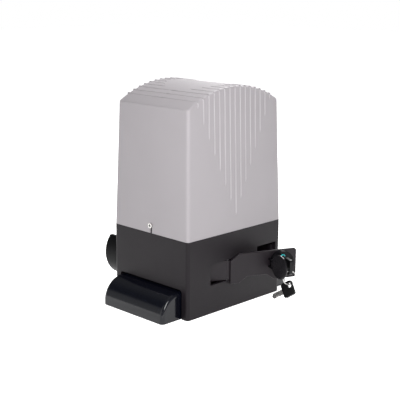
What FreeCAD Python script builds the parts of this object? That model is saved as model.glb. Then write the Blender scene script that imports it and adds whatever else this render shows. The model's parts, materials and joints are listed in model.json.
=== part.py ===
import FreeCAD, Part
import math
import os
import Sketcher

# Sliding gate motor: ribbed domed cover on a moulded base that holds the worm gearbox, the
# upright motor, the control board and the keyed release lever. Millimetres, +Z up. The origin
# is the middle of the anchor slots on the mounting plane. The lever faces -Y and the drive
# pinion +Y, towards the gate.

os.makedirs("parts", exist_ok=True)
doc = FreeCAD.newDocument("sliding_gate_motor")

DIMENSIONS = [
    # moulded base
    ("base_width", "187.6", "X size of the base"),
    ("base_depth", "147.6", "Y size of the base"),
    ("base_height", "109", "height of the seam under the cover"),
    ("corner_radius", "4.5", "upright corners of base and cover"),
    ("base_wall", "=cover_wall + lip_gap + lip_thickness", "wall of the base"),
    ("base_floor", "5", "floor of the base"),
    ("room_corner", "2", "upright inner corners of the base"),
    ("half_width", "=base_width / 2", "half the X size"),
    ("half_depth", "=base_depth / 2", "half the Y size"),
    ("lip_height", "5", "locating lip inside the cover"),
    ("lip_thickness", "2", "thickness of the locating lip"),
    ("lip_gap", "0.6", "gap between the lip and the cover wall"),
    # cover
    ("cover_wall", "2.5", "wall of the cover"),
    ("crown_height", "308", "top of the arched roof above the ground"),
    ("arch_radius", "169", "radius of the arched roof"),
    ("cover_draft", "1.75", "draft angle of the cover walls"),
    ("roof_spare", "5", "height above the roof that the arch cuts away"),
    ("roof_round", "3", "rounding of the roof edges"),
    # ribs of the cover
    ("rib_pitch", "10.1", "distance between ribs"),
    ("rib_width", "1.4", "width of a rib"),
    ("rib_height", "0.55", "how far a rib stands out"),
    ("rib_point_height", "131", "height of the lowest rib point"),
    ("rib_slope", "2.15", "rise of the rib points for each millimetre outwards"),
    ("rib_nose", "5", "length of the pointed end of a rib"),
    ("smooth_radius", "48", "radius of the smooth round in the middle of the roof"),
    # cover screws
    ("cover_screw_y", "-2", "Y of the cover screws"),
    ("cover_screw_rise", "10.6", "height of the cover screws above the seam"),
    ("cover_screw_height", "=base_height + cover_screw_rise", "height of the cover screws"),
    ("cover_screw_radius", "2", "shank of the cover screws"),
    ("cover_screw_head", "3.6", "radius of the screw heads"),
    ("slot_half_width", "2.2", "half width of the slots in the skirt"),
    ("screw_gap", "0.1", "clearance round the screws"),
    ("cover_screw_thick", "2.4", "thickness of the screw heads"),
    ("screw_seat", "=half_width - 0.2", "inner face of the screw heads"),
    ("lug_outer", "=half_width - cover_wall - lip_gap - lip_gap", "outer face of the screw lugs"),
    ("lug_thickness", "4", "thickness of the screw lugs"),
    ("lug_half_width", "8", "half width of the screw lugs"),
    ("lug_depth", "12", "how far the lugs reach below the seam"),
    ("lug_above", "6", "how far the lugs reach above the screws"),
    ("screw_past", "2", "how far the screws reach past the lugs"),
    ("screw_bite", "0.5", "how far the shank runs into the head"),
    ("over", "1", "how far a cutting shape runs past the face it cuts"),
    ("lip_inset", "=cover_wall + lip_gap", "outer face of the lip from the side of the base"),
    # vent plug in the back of the cover
    ("vent_x", "-84.8", "X of the vent plug"),
    ("vent_height", "164", "height of the vent plug"),
    ("vent_radius", "2", "shank of the vent plug"),
    ("vent_head", "3.2", "radius of its head"),
    ("vent_head_thick", "2.4", "thickness of its head"),
    ("vent_shank", "5", "length of its shank"),
    ("vent_seat", "=half_depth - (vent_height - vent_head - base_height) * tan(cover_draft * 1deg)",
     "inner face of its head"),
    # foot recess, ears and covers
    ("recess_depth", "8", "how far the foot recess goes into the side"),
    ("recess_height", "41", "height of the foot recess"),
    ("recess_half_length", "62.2", "half the length of the foot recess"),
    ("recess_wall", "4", "wall behind and above the recess"),
    ("recess_corner", "4", "round upper corners of the recess"),
    ("ear_corner", "8", "corner radius of the ears"),
    ("ear_reach", "26", "how far the fixing ear stands out of the side"),
    ("ear_height", "8", "thickness of the fixing ear"),
    ("ear_half_length", "57", "half the length of the ear"),
    ("slot_x", "107", "X of the anchor slots"),
    ("slot_y", "40", "Y of the anchor slots"),
    ("anchor_radius", "4.75", "half width of the anchor slots"),
    ("anchor_travel", "8", "length of the straight part of the anchor slots"),
    ("foot_reach", "34", "how far the foot cover stands out of the side"),
    ("foot_height", "38", "height of the foot cover"),
    ("foot_gap", "0.6", "gap between foot cover and recess"),
    ("foot_wall", "2.5", "wall of the foot cover"),
    ("foot_round", "32", "quarter-round shoulder of the foot cover"),
    ("foot_rim_round", "5", "rounding of the ends of the foot cover"),
    ("foot_end_gap", "1.8", "gap at the ends of the foot cover"),
    ("foot_half_length", "=recess_half_length - foot_end_gap", "half the length of the foot cover"),
    ("anchor_half", "=anchor_travel / 2", "half the straight part of the anchor slots"),
    # openings and details of the base
    ("keeper_reach", "4.5", "how far the lock keeper stands into the window"),
    ("keeper_depth", "6", "depth of the lock keeper behind the wall"),
    ("keeper_half_height", "11", "half height of the lock keeper"),
    ("pin_seat", "6", "how far the hinge pin goes into the wall above and below"),
    ("nose_radius", "18", "radius of the gearbox nose in the back wall"),
    ("nose_gap", "0.3", "gap round the gearbox nose"),
    ("cable_x", "45", "X of the cable entry"),
    ("cable_y", "35", "Y of the cable entry"),
    ("cable_radius", "12", "radius of the cable entry"),
    # release lever
    ("hinge_x", "-15.3", "X of the lever hinge"),
    ("hinge_inset", "2.5", "lever hinge behind the front face"),
    ("hinge_y", "=hinge_inset - half_depth", "Y of the lever hinge"),
    ("lever_angle", "24", "angle at which the lever stands open"),
    ("lever_length", "103.8", "from the hinge to the free end"),
    ("lever_inner", "2.6", "inner face of the lever plate from the hinge axis"),
    ("lever_outer", "6", "outer face of the lever plate from the hinge axis"),
    ("lever_root", "2.9", "hinge end of the plate from the hinge axis"),
    ("lever_bottom", "35.5", "lowest edge of the lever"),
    ("lever_top", "78", "top edge of the lever"),
    ("lever_neck", "43.8", "bottom edge of the narrow neck"),
    ("lever_shoulder", "68.5", "top of the hinge end"),
    ("tail_length", "34", "length of the tail behind the hinge"),
    ("tail_bottom", "41.5", "bottom edge of the tail"),
    ("tail_top", "69", "top edge of the tail"),
    ("tail_thickness", "3", "thickness of the tail"),
    ("tail_set_back", "0.7", "inner face of the tail behind the hinge axis"),
    ("lever_foot", "16.7", "where the slants of the hinge end stop"),
    ("lever_slant", "11.5", "length of the slants to the neck"),
    ("lever_end", "9", "start of the deep free end before the lock axis"),
    ("lever_corner", "4", "corner radius of the free end"),
    ("lever_rim", "1", "rounding of the outer rim"),
    ("knuckle_radius", "3", "radius of the hinge knuckle"),
    ("lever_pin_radius", "1.5", "radius of the hinge pin"),
    ("hinge_reach", "4.6", "how far the web of the hinge reaches under the plate"),
    ("running_gap", "0.05", "running clearance on a radius"),
    ("window_gap", "1.2", "gap round the tail in its window"),
    # lock
    ("lock_x", "79", "lock axis from the hinge along the lever"),
    ("lock_height", "61", "height of the lock axis"),
    ("lock_head_radius", "16.5", "radius of the lock head"),
    ("lock_face", "15", "front of the lock head from the hinge axis"),
    ("lock_barrel_radius", "10", "barrel behind the lever"),
    ("lock_barrel_length", "17", "length of the barrel behind the lever"),
    ("plug_radius", "6", "radius of the turning plug"),
    ("plug_tail", "1", "how far the plug stands out of the back of the barrel"),
    ("face_recess", "1", "depth of the dished lock face"),
    ("face_rim", "2", "width of the rim round the lock face"),
    ("cam_thick", "2", "thickness of the bolt tongue"),
    ("cam_half_width", "4.5", "half width of the bolt tongue"),
    ("cam_reach", "18", "length of the bolt tongue from the plug axis"),
    ("lock_nut_radius", "14", "radius of the ring nut"),
    ("lock_nut_height", "4", "height of the ring nut"),
    ("window_x", "64.7", "middle of the lock window in the base"),
    ("window_half_width", "20", "half width of the lock window"),
    ("window_bottom", "42", "bottom of the lock window"),
    ("window_top", "77", "top of the lock window"),
    # dust flap
    ("flap_angle", "78", "angle at which the dust flap stands open"),
    ("flap_radius", "17", "radius of the dust flap"),
    ("flap_thickness", "3.2", "thickness of the dust flap"),
    ("flap_dome", "70", "radius of its domed face"),
    ("flap_arm_thick", "1.2", "thickness of the arm at the knuckle"),
    ("flap_hinge_x", "=lock_x - flap_radius", "flap hinge from the lever hinge along the lever"),
    ("flap_hinge_n", "15.5", "flap hinge from the lever hinge across the lever"),
    ("flap_pin_radius", "0.75", "radius of the flap pin"),
    ("flap_pin_boss", "1.9", "half size of the lugs of the flap hinge"),
    ("flap_knuckle", "1.7", "radius of the flap knuckle"),
    ("flap_room", "0.6", "room round the flap knuckle"),
    ("flap_lug_inner", "4", "inner faces of the lugs from the lock axis"),
    ("flap_lug_height", "2.5", "height of the lugs"),
    ("flap_end_gap", "0.2", "gap at each end of the flap knuckle"),
    ("flap_set_off", "0.4", "inner face of the flap from its hinge axis"),
    ("flap_arm_length", "5", "arm between the knuckle and the disc"),
    ("flap_notch", "1.6", "room for the lugs in the edge of the disc"),
    # keys and ring
    ("bow_length", "18", "key bow along the blade"),
    ("bow_width", "21", "key bow across the blade"),
    ("bow_thickness", "4", "thickness of the key bow"),
    ("bow_start", "7", "from the lock face to the bow"),
    ("bow_hole_in", "4.5", "hole from the outer end of the bow"),
    ("bow_hole_side", "4", "hole beside the middle of the bow"),
    ("bow_hole_radius", "3.4", "radius of the ring hole"),
    ("blade_length", "19.5", "blade outside the bow"),
    ("blade_width", "7.5", "width of the blade"),
    ("blade_thickness", "2", "thickness of the blade"),
    ("blade_half_thickness", "=blade_thickness / 2", "half the thickness"),
    ("blade_half_width", "=blade_width / 2", "half the width"),
    ("blade_root", "8", "how far the blade is moulded into the bow"),
    ("blade_gap", "0.1", "clearance of the blade in the plug"),
    ("blade_in_lock", "20", "how far the blade goes into the lock"),
    ("bow_half_width", "=bow_width / 2", "half the width of the bow"),
    ("bow_corner", "3", "corner radius of the bow"),
    ("bit_pitch", "3", "distance between the bitting cuts"),
    ("bit_half", "1.5", "half of that distance"),
    ("bit_depth", "1.6", "depth of the bitting cuts"),
    ("ring_radius", "9.6", "middle radius of the ring"),
    ("ring_wire", "0.8", "radius of the ring wire"),
    ("ring_gap", "0.5", "gap between the wire and the hole of the first key"),
    ("spare_gap", "1.6", "the same for the spare key, which hangs askew"),
    # gear train
    ("shaft_x", "-48", "X of the output shaft"),
    ("shaft_height", "58", "height of the output shaft"),
    ("shaft_radius", "10", "radius of the output shaft"),
    ("gear_module", "4", "module of the drive pinion"),
    ("pinion_teeth", "14", "teeth of the drive pinion"),
    ("pinion_width", "24", "width of the drive pinion"),
    ("pinion_radius", "=gear_module * pinion_teeth / 2", "pitch radius of the pinion"),
    ("guard_radius", "38", "outside of the pinion guard"),
    ("guard_wall", "3", "wall of the pinion guard"),
    ("guard_reach", "31", "how far the guard stands out of the back"),
    ("guard_top", "83", "flat top of the guard, where the rack passes"),
    ("wheel_radius", "28", "outside of the worm wheel"),
    ("wheel_width", "16", "width of the worm wheel"),
    ("wheel_y", "18", "middle of the worm wheel"),
    ("worm_radius", "8", "outside of the worm"),
    ("worm_x", "-14", "X of the worm and motor axis"),
    ("guard_flange", "3", "thickness of the flange of the guard"),
    ("guard_bore", "21", "hole of the guard flange round the gearbox nose"),
    ("pinion_start", "6", "inner face of the pinion from the back of the base"),
    ("motor_radius", "47", "radius of the motor"),
    ("motor_rise", "3", "bottom of the motor above the seam"),
    ("motor_bottom", "=base_height + motor_rise", "bottom of the motor"),
    ("motor_height", "96", "height of the stator can"),
    ("rotor_radius", "28", "radius of the rotor"),
    ("air_gap", "0.5", "air gap between rotor and stator"),
    ("rotor_shaft_radius", "6", "radius of the rotor shaft"),
    ("end_bell_height", "14", "height of the upper end bell"),
    ("case_radius", "33", "outside of the gear case round the wheel"),
    ("case_front", "-4", "front of the gear case"),
    ("case_end", "4", "length of its narrow ends"),
    ("case_floor", "8", "bottom of the gear case under the worm"),
    ("tower_radius", "15", "outside of the gear case round the worm"),
    ("chamber_gap", "1.5", "room round the worm wheel"),
    ("bearing_radius", "16", "outside of the shaft bearings"),
    ("bearing_width", "10", "width of the shaft bearings"),
    ("seal_width", "5", "width of the oil seal"),
    ("flange_height", "6", "thickness of the motor flange of the case"),
    ("worm_bottom", "34", "lower end of the worm"),
    ("worm_top", "82", "upper end of the worm"),
    ("worm_end_gap", "1", "room under the worm"),
    ("mesh_gap", "0.3", "clearance between worm and wheel"),
    ("hub_radius", "16", "hub of the worm wheel"),
    ("hub_step", "3", "how far the hub stands out of the wheel"),
    ("shaft_stub", "4", "how far a shaft stands out of its last bearing"),
    ("shaft_nib", "5", "thin end of the output shaft"),
    ("nib_step", "2", "how much thinner that end is"),
    ("shaft_room", "0.5", "room round the shaft in the case"),
    ("shaft_end", "=half_depth + pinion_start + pinion_width", "shoulder of the output shaft"),
    ("case_foot_half", "20", "half width of the foot of the case"),
    ("washer_radius", "15", "radius of the pinion washer"),
    ("washer_thickness", "3", "thickness of the pinion washer"),
    ("motor_top", "=motor_bottom + motor_height", "top of the stator"),
    ("rotor_inset", "12", "rotor ends inside the stator"),
    ("fin_depth", "3", "waist of the stator can"),
    ("rim_height", "10", "rims of the stator can"),
    ("bolt_circle", "38", "circle of the motor bolts"),
    ("bolt_head_radius", "4", "heads of the motor bolts"),
    ("bolt_head_height", "4", "heads of the motor bolts"),
    ("guard_screw_circle", "28", "circle of the guard screws"),
    ("guard_screw_radius", "3.5", "heads of the guard screws"),
    ("guard_screw_height", "2.5", "heads of the guard screws"),
    # electrical parts
    ("capacitor_x", "62", "X of the capacitor"),
    ("capacitor_inset", "43.8", "capacitor axis from the back face"),
    ("capacitor_y", "=half_depth - capacitor_inset", "Y of the capacitor"),
    ("capacitor_radius", "20", "radius of the capacitor"),
    ("capacitor_height", "80", "height of the capacitor"),
    ("shelf_thick", "3", "shelf under the capacitor"),
    ("clip_wall", "2", "wall of the capacitor clip"),
    ("clip_height", "12", "height of the capacitor clip"),
    ("board_half_width", "72", "half width of the circuit board"),
    ("board_inset", "21.8", "front face of the circuit board from the front face"),
    ("board_y", "=board_inset - half_depth", "front face of the circuit board"),
    ("board_rise", "9", "lower edge of the circuit board above the seam"),
    ("board_low", "=base_height + board_rise", "lower edge of the circuit board"),
    ("board_thick", "1.6", "thickness of the circuit board"),
    ("board_height", "110", "height of the circuit board"),
    ("tray_gap", "4", "gap between board and tray"),
    ("tray_thick", "2", "thickness of the tray"),
    ("tray_foot", "12", "feet of the tray"),
    ("tray_edge", "2", "edge of the tray round the board"),
    ("spacer_inset", "6", "spacers from the corners of the board"),
    ("spacer_radius", "3", "radius of the spacers"),
    ("terminal_pitch", "27", "distance between the terminals"),
    ("terminal_width", "25", "width of a terminal"),
    ("terminal_depth", "10", "depth of a terminal"),
    ("terminal_height", "12", "height of a terminal"),
    ("relay_start", "60", "first relay from the middle"),
    ("relay_pitch", "24", "distance between the relays"),
    ("relay_width", "19", "width of a relay"),
    ("relay_depth", "15", "depth of a relay"),
    ("relay_height", "16", "height of a relay"),
    ("relay_drop", "14", "relays below the top of the board"),
    ("transformer_x", "38", "left side of the transformer"),
    ("tray_back_y", "=board_y + board_thick + tray_gap + tray_thick", "back face of the tray"),
    ("coil_inset", "4", "coil inside the sides of the transformer core"),
    ("coil_low", "8", "lower end of the coil above the end of the core"),
    ("transformer_width", "42", "width of the transformer"),
    ("transformer_depth", "34", "depth of the transformer"),
    ("transformer_height", "50", "height of the transformer"),
    ("sensor_x", "-80", "left side of the limit sensor"),
    ("sensor_width", "14", "width of the limit sensor"),
    ("sensor_depth", "20", "depth of the limit sensor"),
    ("sensor_height", "18", "height of the limit sensor"),
    ("gland_bore_radius", "5", "bore of the cable gland"),
    ("gland_rim", "3", "width and thickness of its flange"),
    ("gland_inset", "0.5", "lower face of the gland above the ground"),
    # positions worked out from the ones above
    ("lever_cos", "=cos(lever_angle * 1deg)", "direction of the open lever"),
    ("lever_sin", "=sin(lever_angle * 1deg)", "direction of the open lever"),
    ("flap_world_x", "=hinge_x + flap_hinge_x * lever_cos - flap_hinge_n * lever_sin", "flap hinge"),
    ("flap_world_y", "=hinge_y - flap_hinge_x * lever_sin - flap_hinge_n * lever_cos", "flap hinge"),
    ("hole_n", "=lock_face + bow_start + bow_length - bow_hole_in", "ring hole across the lever"),
    ("hole_height", "=lock_height - bow_hole_side", "height of the ring hole"),
    ("wire_height", "=hole_height - bow_hole_radius + ring_wire + ring_gap", "wire in the first key"),
    ("ring_height", "=wire_height - ring_radius", "middle of the ring"),
    ("spare_hole_height", "=ring_height - ring_radius - bow_hole_radius + ring_wire + spare_gap",
     "hole of the spare key"),
    ("key_world_x", "=hinge_x + lock_x * lever_cos - hole_n * lever_sin", "ring hole"),
    ("key_world_y", "=hinge_y - lock_x * lever_sin - hole_n * lever_cos", "ring hole"),
    ("mesh_distance", "=worm_x - shaft_x", "centre distance of worm and wheel"),
    ("wheel_half", "=wheel_width / 2", "half the width of the worm wheel"),
    ("tooth_tip", "=pinion_radius + gear_module", "outside of the pinion"),
    ("tooth_root", "=pinion_radius - gear_module * 1.25", "bottom of the tooth gaps"),
    ("tooth_foot_half", "=gear_module * 1.12", "half width of a tooth at its foot"),
    ("tooth_tip_half", "=gear_module * 0.38", "half width of a tooth at its tip"),
    ("tooth_pitch_half", "=gear_module * 0.76", "half width of a tooth at the pitch circle"),
    ("spare_tilt", "34", "how far the blade of the spare key dips"),
    ("spare_twist", "52", "how far the spare key is turned on the ring"),
    ("spare_forward", "0.9", "how far it hangs in front of the ring"),
    ("spare_roll", "20", "how far it is rolled about its blade"),
]

sheet = doc.addObject("Spreadsheet::Sheet", "dims")
for row, (alias, content, meaning) in enumerate(DIMENSIONS, start=1):
    sheet.set(f"A{row}", alias)
    sheet.set(f"B{row}", content)
    sheet.set(f"C{row}", meaning)
    sheet.setAlias(f"B{row}", alias)
doc.recompute()


# ---------------------------------------------------------------- helpers

def number(text):
    """Value in millimetres of a sum of sheet names, such as 'half_width - base_wall'."""
    total = 0.0
    sign = 1.0
    for word in text.split():
        if word in ("+", "-"):
            sign = -1.0 if word == "-" else 1.0
            continue
        size = float(word) if word[0].isdigit() else float(sheet.get(word))
        total += sign * size
        sign = 1.0
    return total


def formula(text):
    """The same sum as an expression that FreeCAD keeps bound to the sheet."""
    words = []
    for word in text.split():
        is_name = word not in ("+", "-") and not word[0].isdigit()
        words.append("dims." + word if is_name else word)
    return " ".join(words)


def opposite(text):
    """The same sum with every sign turned round."""
    words = text.split()
    if words[0] not in ("+", "-"):
        words.insert(0, "+")
    turned = {"+": "-", "-": "+"}
    return " ".join(turned.get(word, word) for word in words)


def new_body(name):
    body = doc.addObject("PartDesign::Body", name)
    body.Label = name
    return body


def sketch_in(body, role, level=None):
    """Empty sketch on an origin plane of the body, lifted along the plane's normal."""
    sketch = body.newObject("Sketcher::SketchObject", body.Name + "_sketch")
    plane = [item for item in body.Origin.OriginFeatures if item.Role == role][0]
    sketch.AttachmentSupport = [(plane, "")]
    sketch.MapMode = "FlatFace"
    if level:
        sketch.setExpression("AttachmentOffset.Base.z", formula(level))
    return sketch


def pin_point(sketch, edge, end, across, up):
    """Hold one sketch point at sheet distances from the sketch origin."""
    for kind, axis, text in (("DistanceX", -2, across), ("DistanceY", -1, up)):
        if text == "0":
            sketch.addConstraint(Sketcher.Constraint("PointOnObject", edge, end, axis))
            continue
        bond = Sketcher.Constraint(kind, -1, 1, edge, end, number(text))
        index = sketch.addConstraint(bond)
        sketch.setExpression(f"Constraints[{index}]", formula(text))


def outline(sketch, corners):
    """Closed chain of straight lines through corners given as pairs of sheet sums."""
    first = sketch.GeometryCount
    count = len(corners)
    points = [FreeCAD.Vector(number(x), number(y), 0) for x, y in corners]
    for index in range(count):
        line = Part.LineSegment(points[index], points[(index + 1) % count])
        sketch.addGeometry(line, False)
    for index in range(count):
        following = first + (index + 1) % count
        sketch.addConstraint(Sketcher.Constraint("Coincident", first + index, 2, following, 1))
    for index, (across, up) in enumerate(corners):
        pin_point(sketch, first + index, 1, across, up)
    return sketch


def rectangle(sketch, left, right, low, high):
    return outline(sketch, [(left, low), (right, low), (right, high), (left, high)])


def circle(sketch, across, up, radius):
    centre = FreeCAD.Vector(number(across), number(up), 0)
    normal = FreeCAD.Vector(0, 0, 1)
    edge = sketch.addGeometry(Part.Circle(centre, normal, number(radius)), False)
    pin_point(sketch, edge, 3, across, up)
    index = sketch.addConstraint(Sketcher.Constraint("Radius", edge, number(radius)))
    sketch.setExpression(f"Constraints[{index}]", formula(radius))
    return sketch


def pad(body, sketch, length, both=False, reverse=False, cut=False):
    """Pad, or pocket when cut is set, of a sketch by a sheet sum."""
    kind = "PartDesign::Pocket" if cut else "PartDesign::Pad"
    feature = body.newObject(kind, body.Name + ("_pocket" if cut else "_pad"))
    feature.Profile = sketch
    feature.Length = number(length)
    feature.setExpression("Length", formula(length))
    feature.Midplane = both
    feature.Reversed = reverse
    doc.recompute()
    return feature


def revolve(body, corners):
    """Solid of revolution about the body's own Z axis from (radius, height) corners."""
    sketch = outline(sketch_in(body, "XZ_Plane"), corners)
    feature = body.newObject("PartDesign::Revolution", body.Name + "_turning")
    feature.Profile = sketch
    feature.ReferenceAxis = (sketch, ["V_Axis"])
    feature.Angle = 360
    doc.recompute()
    return feature


def upright_edges(shape, near=None):
    """Names of straight edges that run mostly along Z, kept when near(middle point) holds."""
    names = []
    for index, edge in enumerate(shape.Edges, start=1):
        if len(edge.Vertexes) != 2:
            continue
        step = edge.Vertexes[1].Point - edge.Vertexes[0].Point
        if abs(step.z) < 0.9 * step.Length:
            continue
        middle = (edge.Vertexes[1].Point + edge.Vertexes[0].Point) * 0.5
        if near is None or near(middle):
            names.append(f"Edge{index}")
    return names


def fillet(body, names, radius):
    before = body.Tip
    feature = body.newObject("PartDesign::Fillet", body.Name + "_round")
    feature.Base = (before, names)
    feature.Radius = number(radius)
    feature.setExpression("Radius", formula(radius))
    doc.recompute()
    return feature


def place(thing, x="0", y="0", z="0", axis=(0, 0, 1), angle=0.0):
    """Stand an object at sheet distances, turned about an axis."""
    turn = FreeCAD.Rotation(FreeCAD.Vector(*axis), angle)
    thing.Placement = FreeCAD.Placement(FreeCAD.Vector(number(x), number(y), number(z)), turn)
    for letter, text in (("x", x), ("y", y), ("z", z)):
        if text != "0":
            thing.setExpression(f"Placement.Base.{letter}", formula(text))
    return thing


def place_on_lever(thing, angle=0.0):
    """Stand an object modelled in the lever's own axes on the hinge, at the open angle."""
    place(thing, "hinge_x", "hinge_y", "0", (0, 0, -1), number("lever_angle") - angle)
    turn = "dims.lever_angle" if angle == 0.0 else f"dims.lever_angle - {angle}"
    thing.setExpression("Placement.Rotation.Angle", turn)
    return thing


def box(name, x, y, z, length, width, height):
    """Box with its corner at x, y, z; all six are sheet sums."""
    solid = doc.addObject("Part::Box", name)
    for size, text in (("Length", length), ("Width", width), ("Height", height)):
        setattr(solid, size, number(text))
        solid.setExpression(size, formula(text))
    return place(solid, x, y, z)


def cylinder(name, x, y, z, radius, height, axis=(0, 0, 1), angle=0.0):
    solid = doc.addObject("Part::Cylinder", name)
    for size, text in (("Radius", radius), ("Height", height)):
        setattr(solid, size, number(text))
        solid.setExpression(size, formula(text))
    return place(solid, x, y, z, axis, angle)


def fuse(name, shapes):
    solid = doc.addObject("Part::MultiFuse", name)
    solid.Shapes = shapes
    return solid


def cut(name, base, tool):
    solid = doc.addObject("Part::Cut", name)
    solid.Base = base
    solid.Tool = tool
    return solid


def common(name, base, tool):
    solid = doc.addObject("Part::Common", name)
    solid.Base = base
    solid.Tool = tool
    return solid


def group(name, shapes):
    solid = doc.addObject("Part::Compound", name)
    solid.Links = shapes
    return solid


TO_BACK = ((1, 0, 0), -90.0)    # turns a +Z axis to +Y
TO_FRONT = ((1, 0, 0), 90.0)    # turns a +Z axis to -Y
TO_RIGHT = ((0, 1, 0), 90.0)    # turns a +Z axis to +X
TO_LEFT = ((0, 1, 0), -90.0)    # turns a +Z axis to -X


# ---------------------------------------------------------------- cover

def cover_block(name, inward, outward, corner):
    """Block of the cover, drafted inwards from the seam to above the roof."""
    body = new_body(name)
    seam = sketch_in(body, "XY_Plane", "base_height")
    rectangle(seam, "- half_width" + inward, "half_width" + outward,
              "- half_depth" + inward, "half_depth" + outward)
    block = pad(body, seam, "crown_height + roof_spare - base_height")
    block.TaperAngle = -number("cover_draft")
    block.setExpression("TaperAngle", "-1 * dims.cover_draft")
    doc.recompute()
    fillet(body, upright_edges(body.Shape), corner)
    return body


def arched(name, block, radius):
    """The block under the arched roof, which is a cylinder that lies along Y."""
    roof = cylinder(name + "_arch", "0", "- base_depth", "crown_height - arch_radius",
                    radius, "base_depth + base_depth", *TO_BACK)
    return common(name, block, roof)


def roof_edges(shape):
    """Edges round the arched face, the cylinder of the shape that has the arch radius."""
    arch = number("arch_radius")
    for face in shape.Faces:
        surface = face.Surface
        if surface.TypeId == "Part::GeomCylinder" and math.isclose(surface.Radius, arch):
            rims = face.Edges
            break
    return [index for index, edge in enumerate(shape.Edges, start=1)
            if any(edge.isSame(rim) for rim in rims)]


def rib_comb():
    """Upright slabs, one for each rib, with pointed lower ends that rise outwards in a V."""
    body = new_body("rib_comb")
    sketch = sketch_in(body, "XZ_Plane")
    ribs_each_side = 7
    for step in range(-ribs_each_side, ribs_each_side + 1):
        middle = doc.dims.get("rib_pitch") * step
        low = doc.dims.get("rib_point_height") + doc.dims.get("rib_slope") * abs(middle)
        half = doc.dims.get("rib_width") / 2
        nose = low + doc.dims.get("rib_nose")
        top = doc.dims.get("crown_height") + doc.dims.get("rib_nose")
        corners = [(middle, low), (middle + half, nose), (middle + half, top),
                   (middle - half, top), (middle - half, nose)]
        bond_rib(sketch, step, corners)
    pad(body, sketch, "base_depth + base_depth", both=True)
    return body


def bond_rib(sketch, step, corners):
    """Draw one rib and bind its corners to the sheet."""
    first = sketch.GeometryCount
    count = len(corners)
    points = [FreeCAD.Vector(x, z, 0) for x, z in corners]
    for index in range(count):
        sketch.addGeometry(Part.LineSegment(points[index], points[(index + 1) % count]), False)
    for index in range(count):
        following = first + (index + 1) % count
        sketch.addConstraint(Sketcher.Constraint("Coincident", first + index, 2, following, 1))
    middle = f"dims.rib_pitch * {step}"
    low = f"dims.rib_point_height + dims.rib_slope * dims.rib_pitch * {abs(step)}"
    nose = low + " + dims.rib_nose"
    top = "dims.crown_height + dims.rib_nose"
    right = middle + " + dims.rib_width / 2"
    left = middle + " - dims.rib_width / 2"
    formulas = [(middle, low), (right, nose), (right, top), (left, top), (left, nose)]
    for index, (across, up) in enumerate(formulas):
        x, z = corners[index]
        for kind, size, text in (("DistanceX", x, across), ("DistanceY", z, up)):
            bond = Sketcher.Constraint(kind, -1, 1, first + index, 1, size)
            place_in_list = sketch.addConstraint(bond)
            sketch.setExpression(f"Constraints[{place_in_list}]", text)


def make_cover():
    block = cover_block("cover_block", "", "", "corner_radius")
    outside = arched("cover_outside", block, "arch_radius")
    doc.recompute()
    rounded = doc.addObject("Part::Fillet", "cover_rounded")
    rounded.Base = outside
    radius = number("roof_round")
    rounded.Edges = [(index, radius, radius) for index in roof_edges(outside.Shape)]

    envelope_block = cover_block("rib_block", " - rib_height", " + rib_height",
                                 "corner_radius + rib_height")
    envelope = arched("rib_envelope", envelope_block, "arch_radius + rib_height")
    smooth = cylinder("smooth_middle", "0", "0", "crown_height - arch_radius",
                      "smooth_radius", "arch_radius + arch_radius")
    comb = cut("rib_slabs", rib_comb(), smooth)
    ribs = common("cover_ribs", envelope, comb)
    shell = fuse("cover_ribbed", [rounded, ribs])

    core_block = cover_block("core_block", " + cover_wall", " - cover_wall",
                             "corner_radius - cover_wall")
    core = arched("cover_core", core_block, "arch_radius - cover_wall")
    hollow = cut("cover_hollow", shell, core)

    slot_box = box("screw_slot_box", "- base_width", "cover_screw_y - slot_half_width",
                   "base_height - over", "base_width + base_width",
                   "slot_half_width + slot_half_width",
                   "cover_screw_height - base_height + over")
    slot_end = cylinder("screw_slot_end", "- base_width", "cover_screw_y",
                        "cover_screw_height", "slot_half_width", "base_width + base_width",
                        *TO_RIGHT)
    vent = cylinder("vent_hole", "vent_x", "half_depth + over", "vent_height",
                    "vent_radius + screw_gap", "vent_shank + vent_shank", *TO_FRONT)
    slots = fuse("cover_openings", [slot_box, slot_end, vent])
    return cut("cover", hollow, slots)


def make_cover_screws():
    """One pan-head screw on each side, through the slot into the lug of the base."""
    pieces = []
    for side, turn, sign in (("right", TO_RIGHT, ""), ("left", TO_LEFT, "- ")):
        head = cylinder(f"cover_screw_head_{side}", sign + "screw_seat", "cover_screw_y",
                        "cover_screw_height", "cover_screw_head", "cover_screw_thick", *turn)
        inner = "lug_outer - lug_thickness - screw_past"
        start = inner if side == "right" else "- lug_outer + lug_thickness + screw_past"
        shank = cylinder(f"cover_screw_shank_{side}", start, "cover_screw_y",
                         "cover_screw_height", "cover_screw_radius",
                         "screw_seat - lug_outer + lug_thickness + screw_past + screw_bite", *turn)
        pieces.append(fuse(f"cover_screw_{side}", [head, shank]))
    return group("cover_screws", pieces)


def make_vent_plug():
    """Round-headed vent plug in the back wall of the cover."""
    head = cylinder("vent_plug_head", "vent_x", "vent_seat", "vent_height", "vent_head",
                    "vent_head_thick", *TO_BACK)
    shank = cylinder("vent_plug_shank", "vent_x", "vent_seat - vent_shank", "vent_height",
                     "vent_radius", "vent_shank", *TO_BACK)
    plug = fuse("vent_plug_solid", [head, shank])
    doc.recompute()
    rounded = doc.addObject("Part::Fillet", "vent_plug")
    rounded.Base = plug
    radius = number("vent_head_thick") * 0.6
    outer = [index for index, edge in enumerate(plug.Shape.Edges, start=1)
             if edge.Closed and edge.CenterOfMass.y > number("vent_seat + over")]
    rounded.Edges = [(index, radius, radius) for index in outer]
    return rounded


# ---------------------------------------------------------------- base

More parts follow.
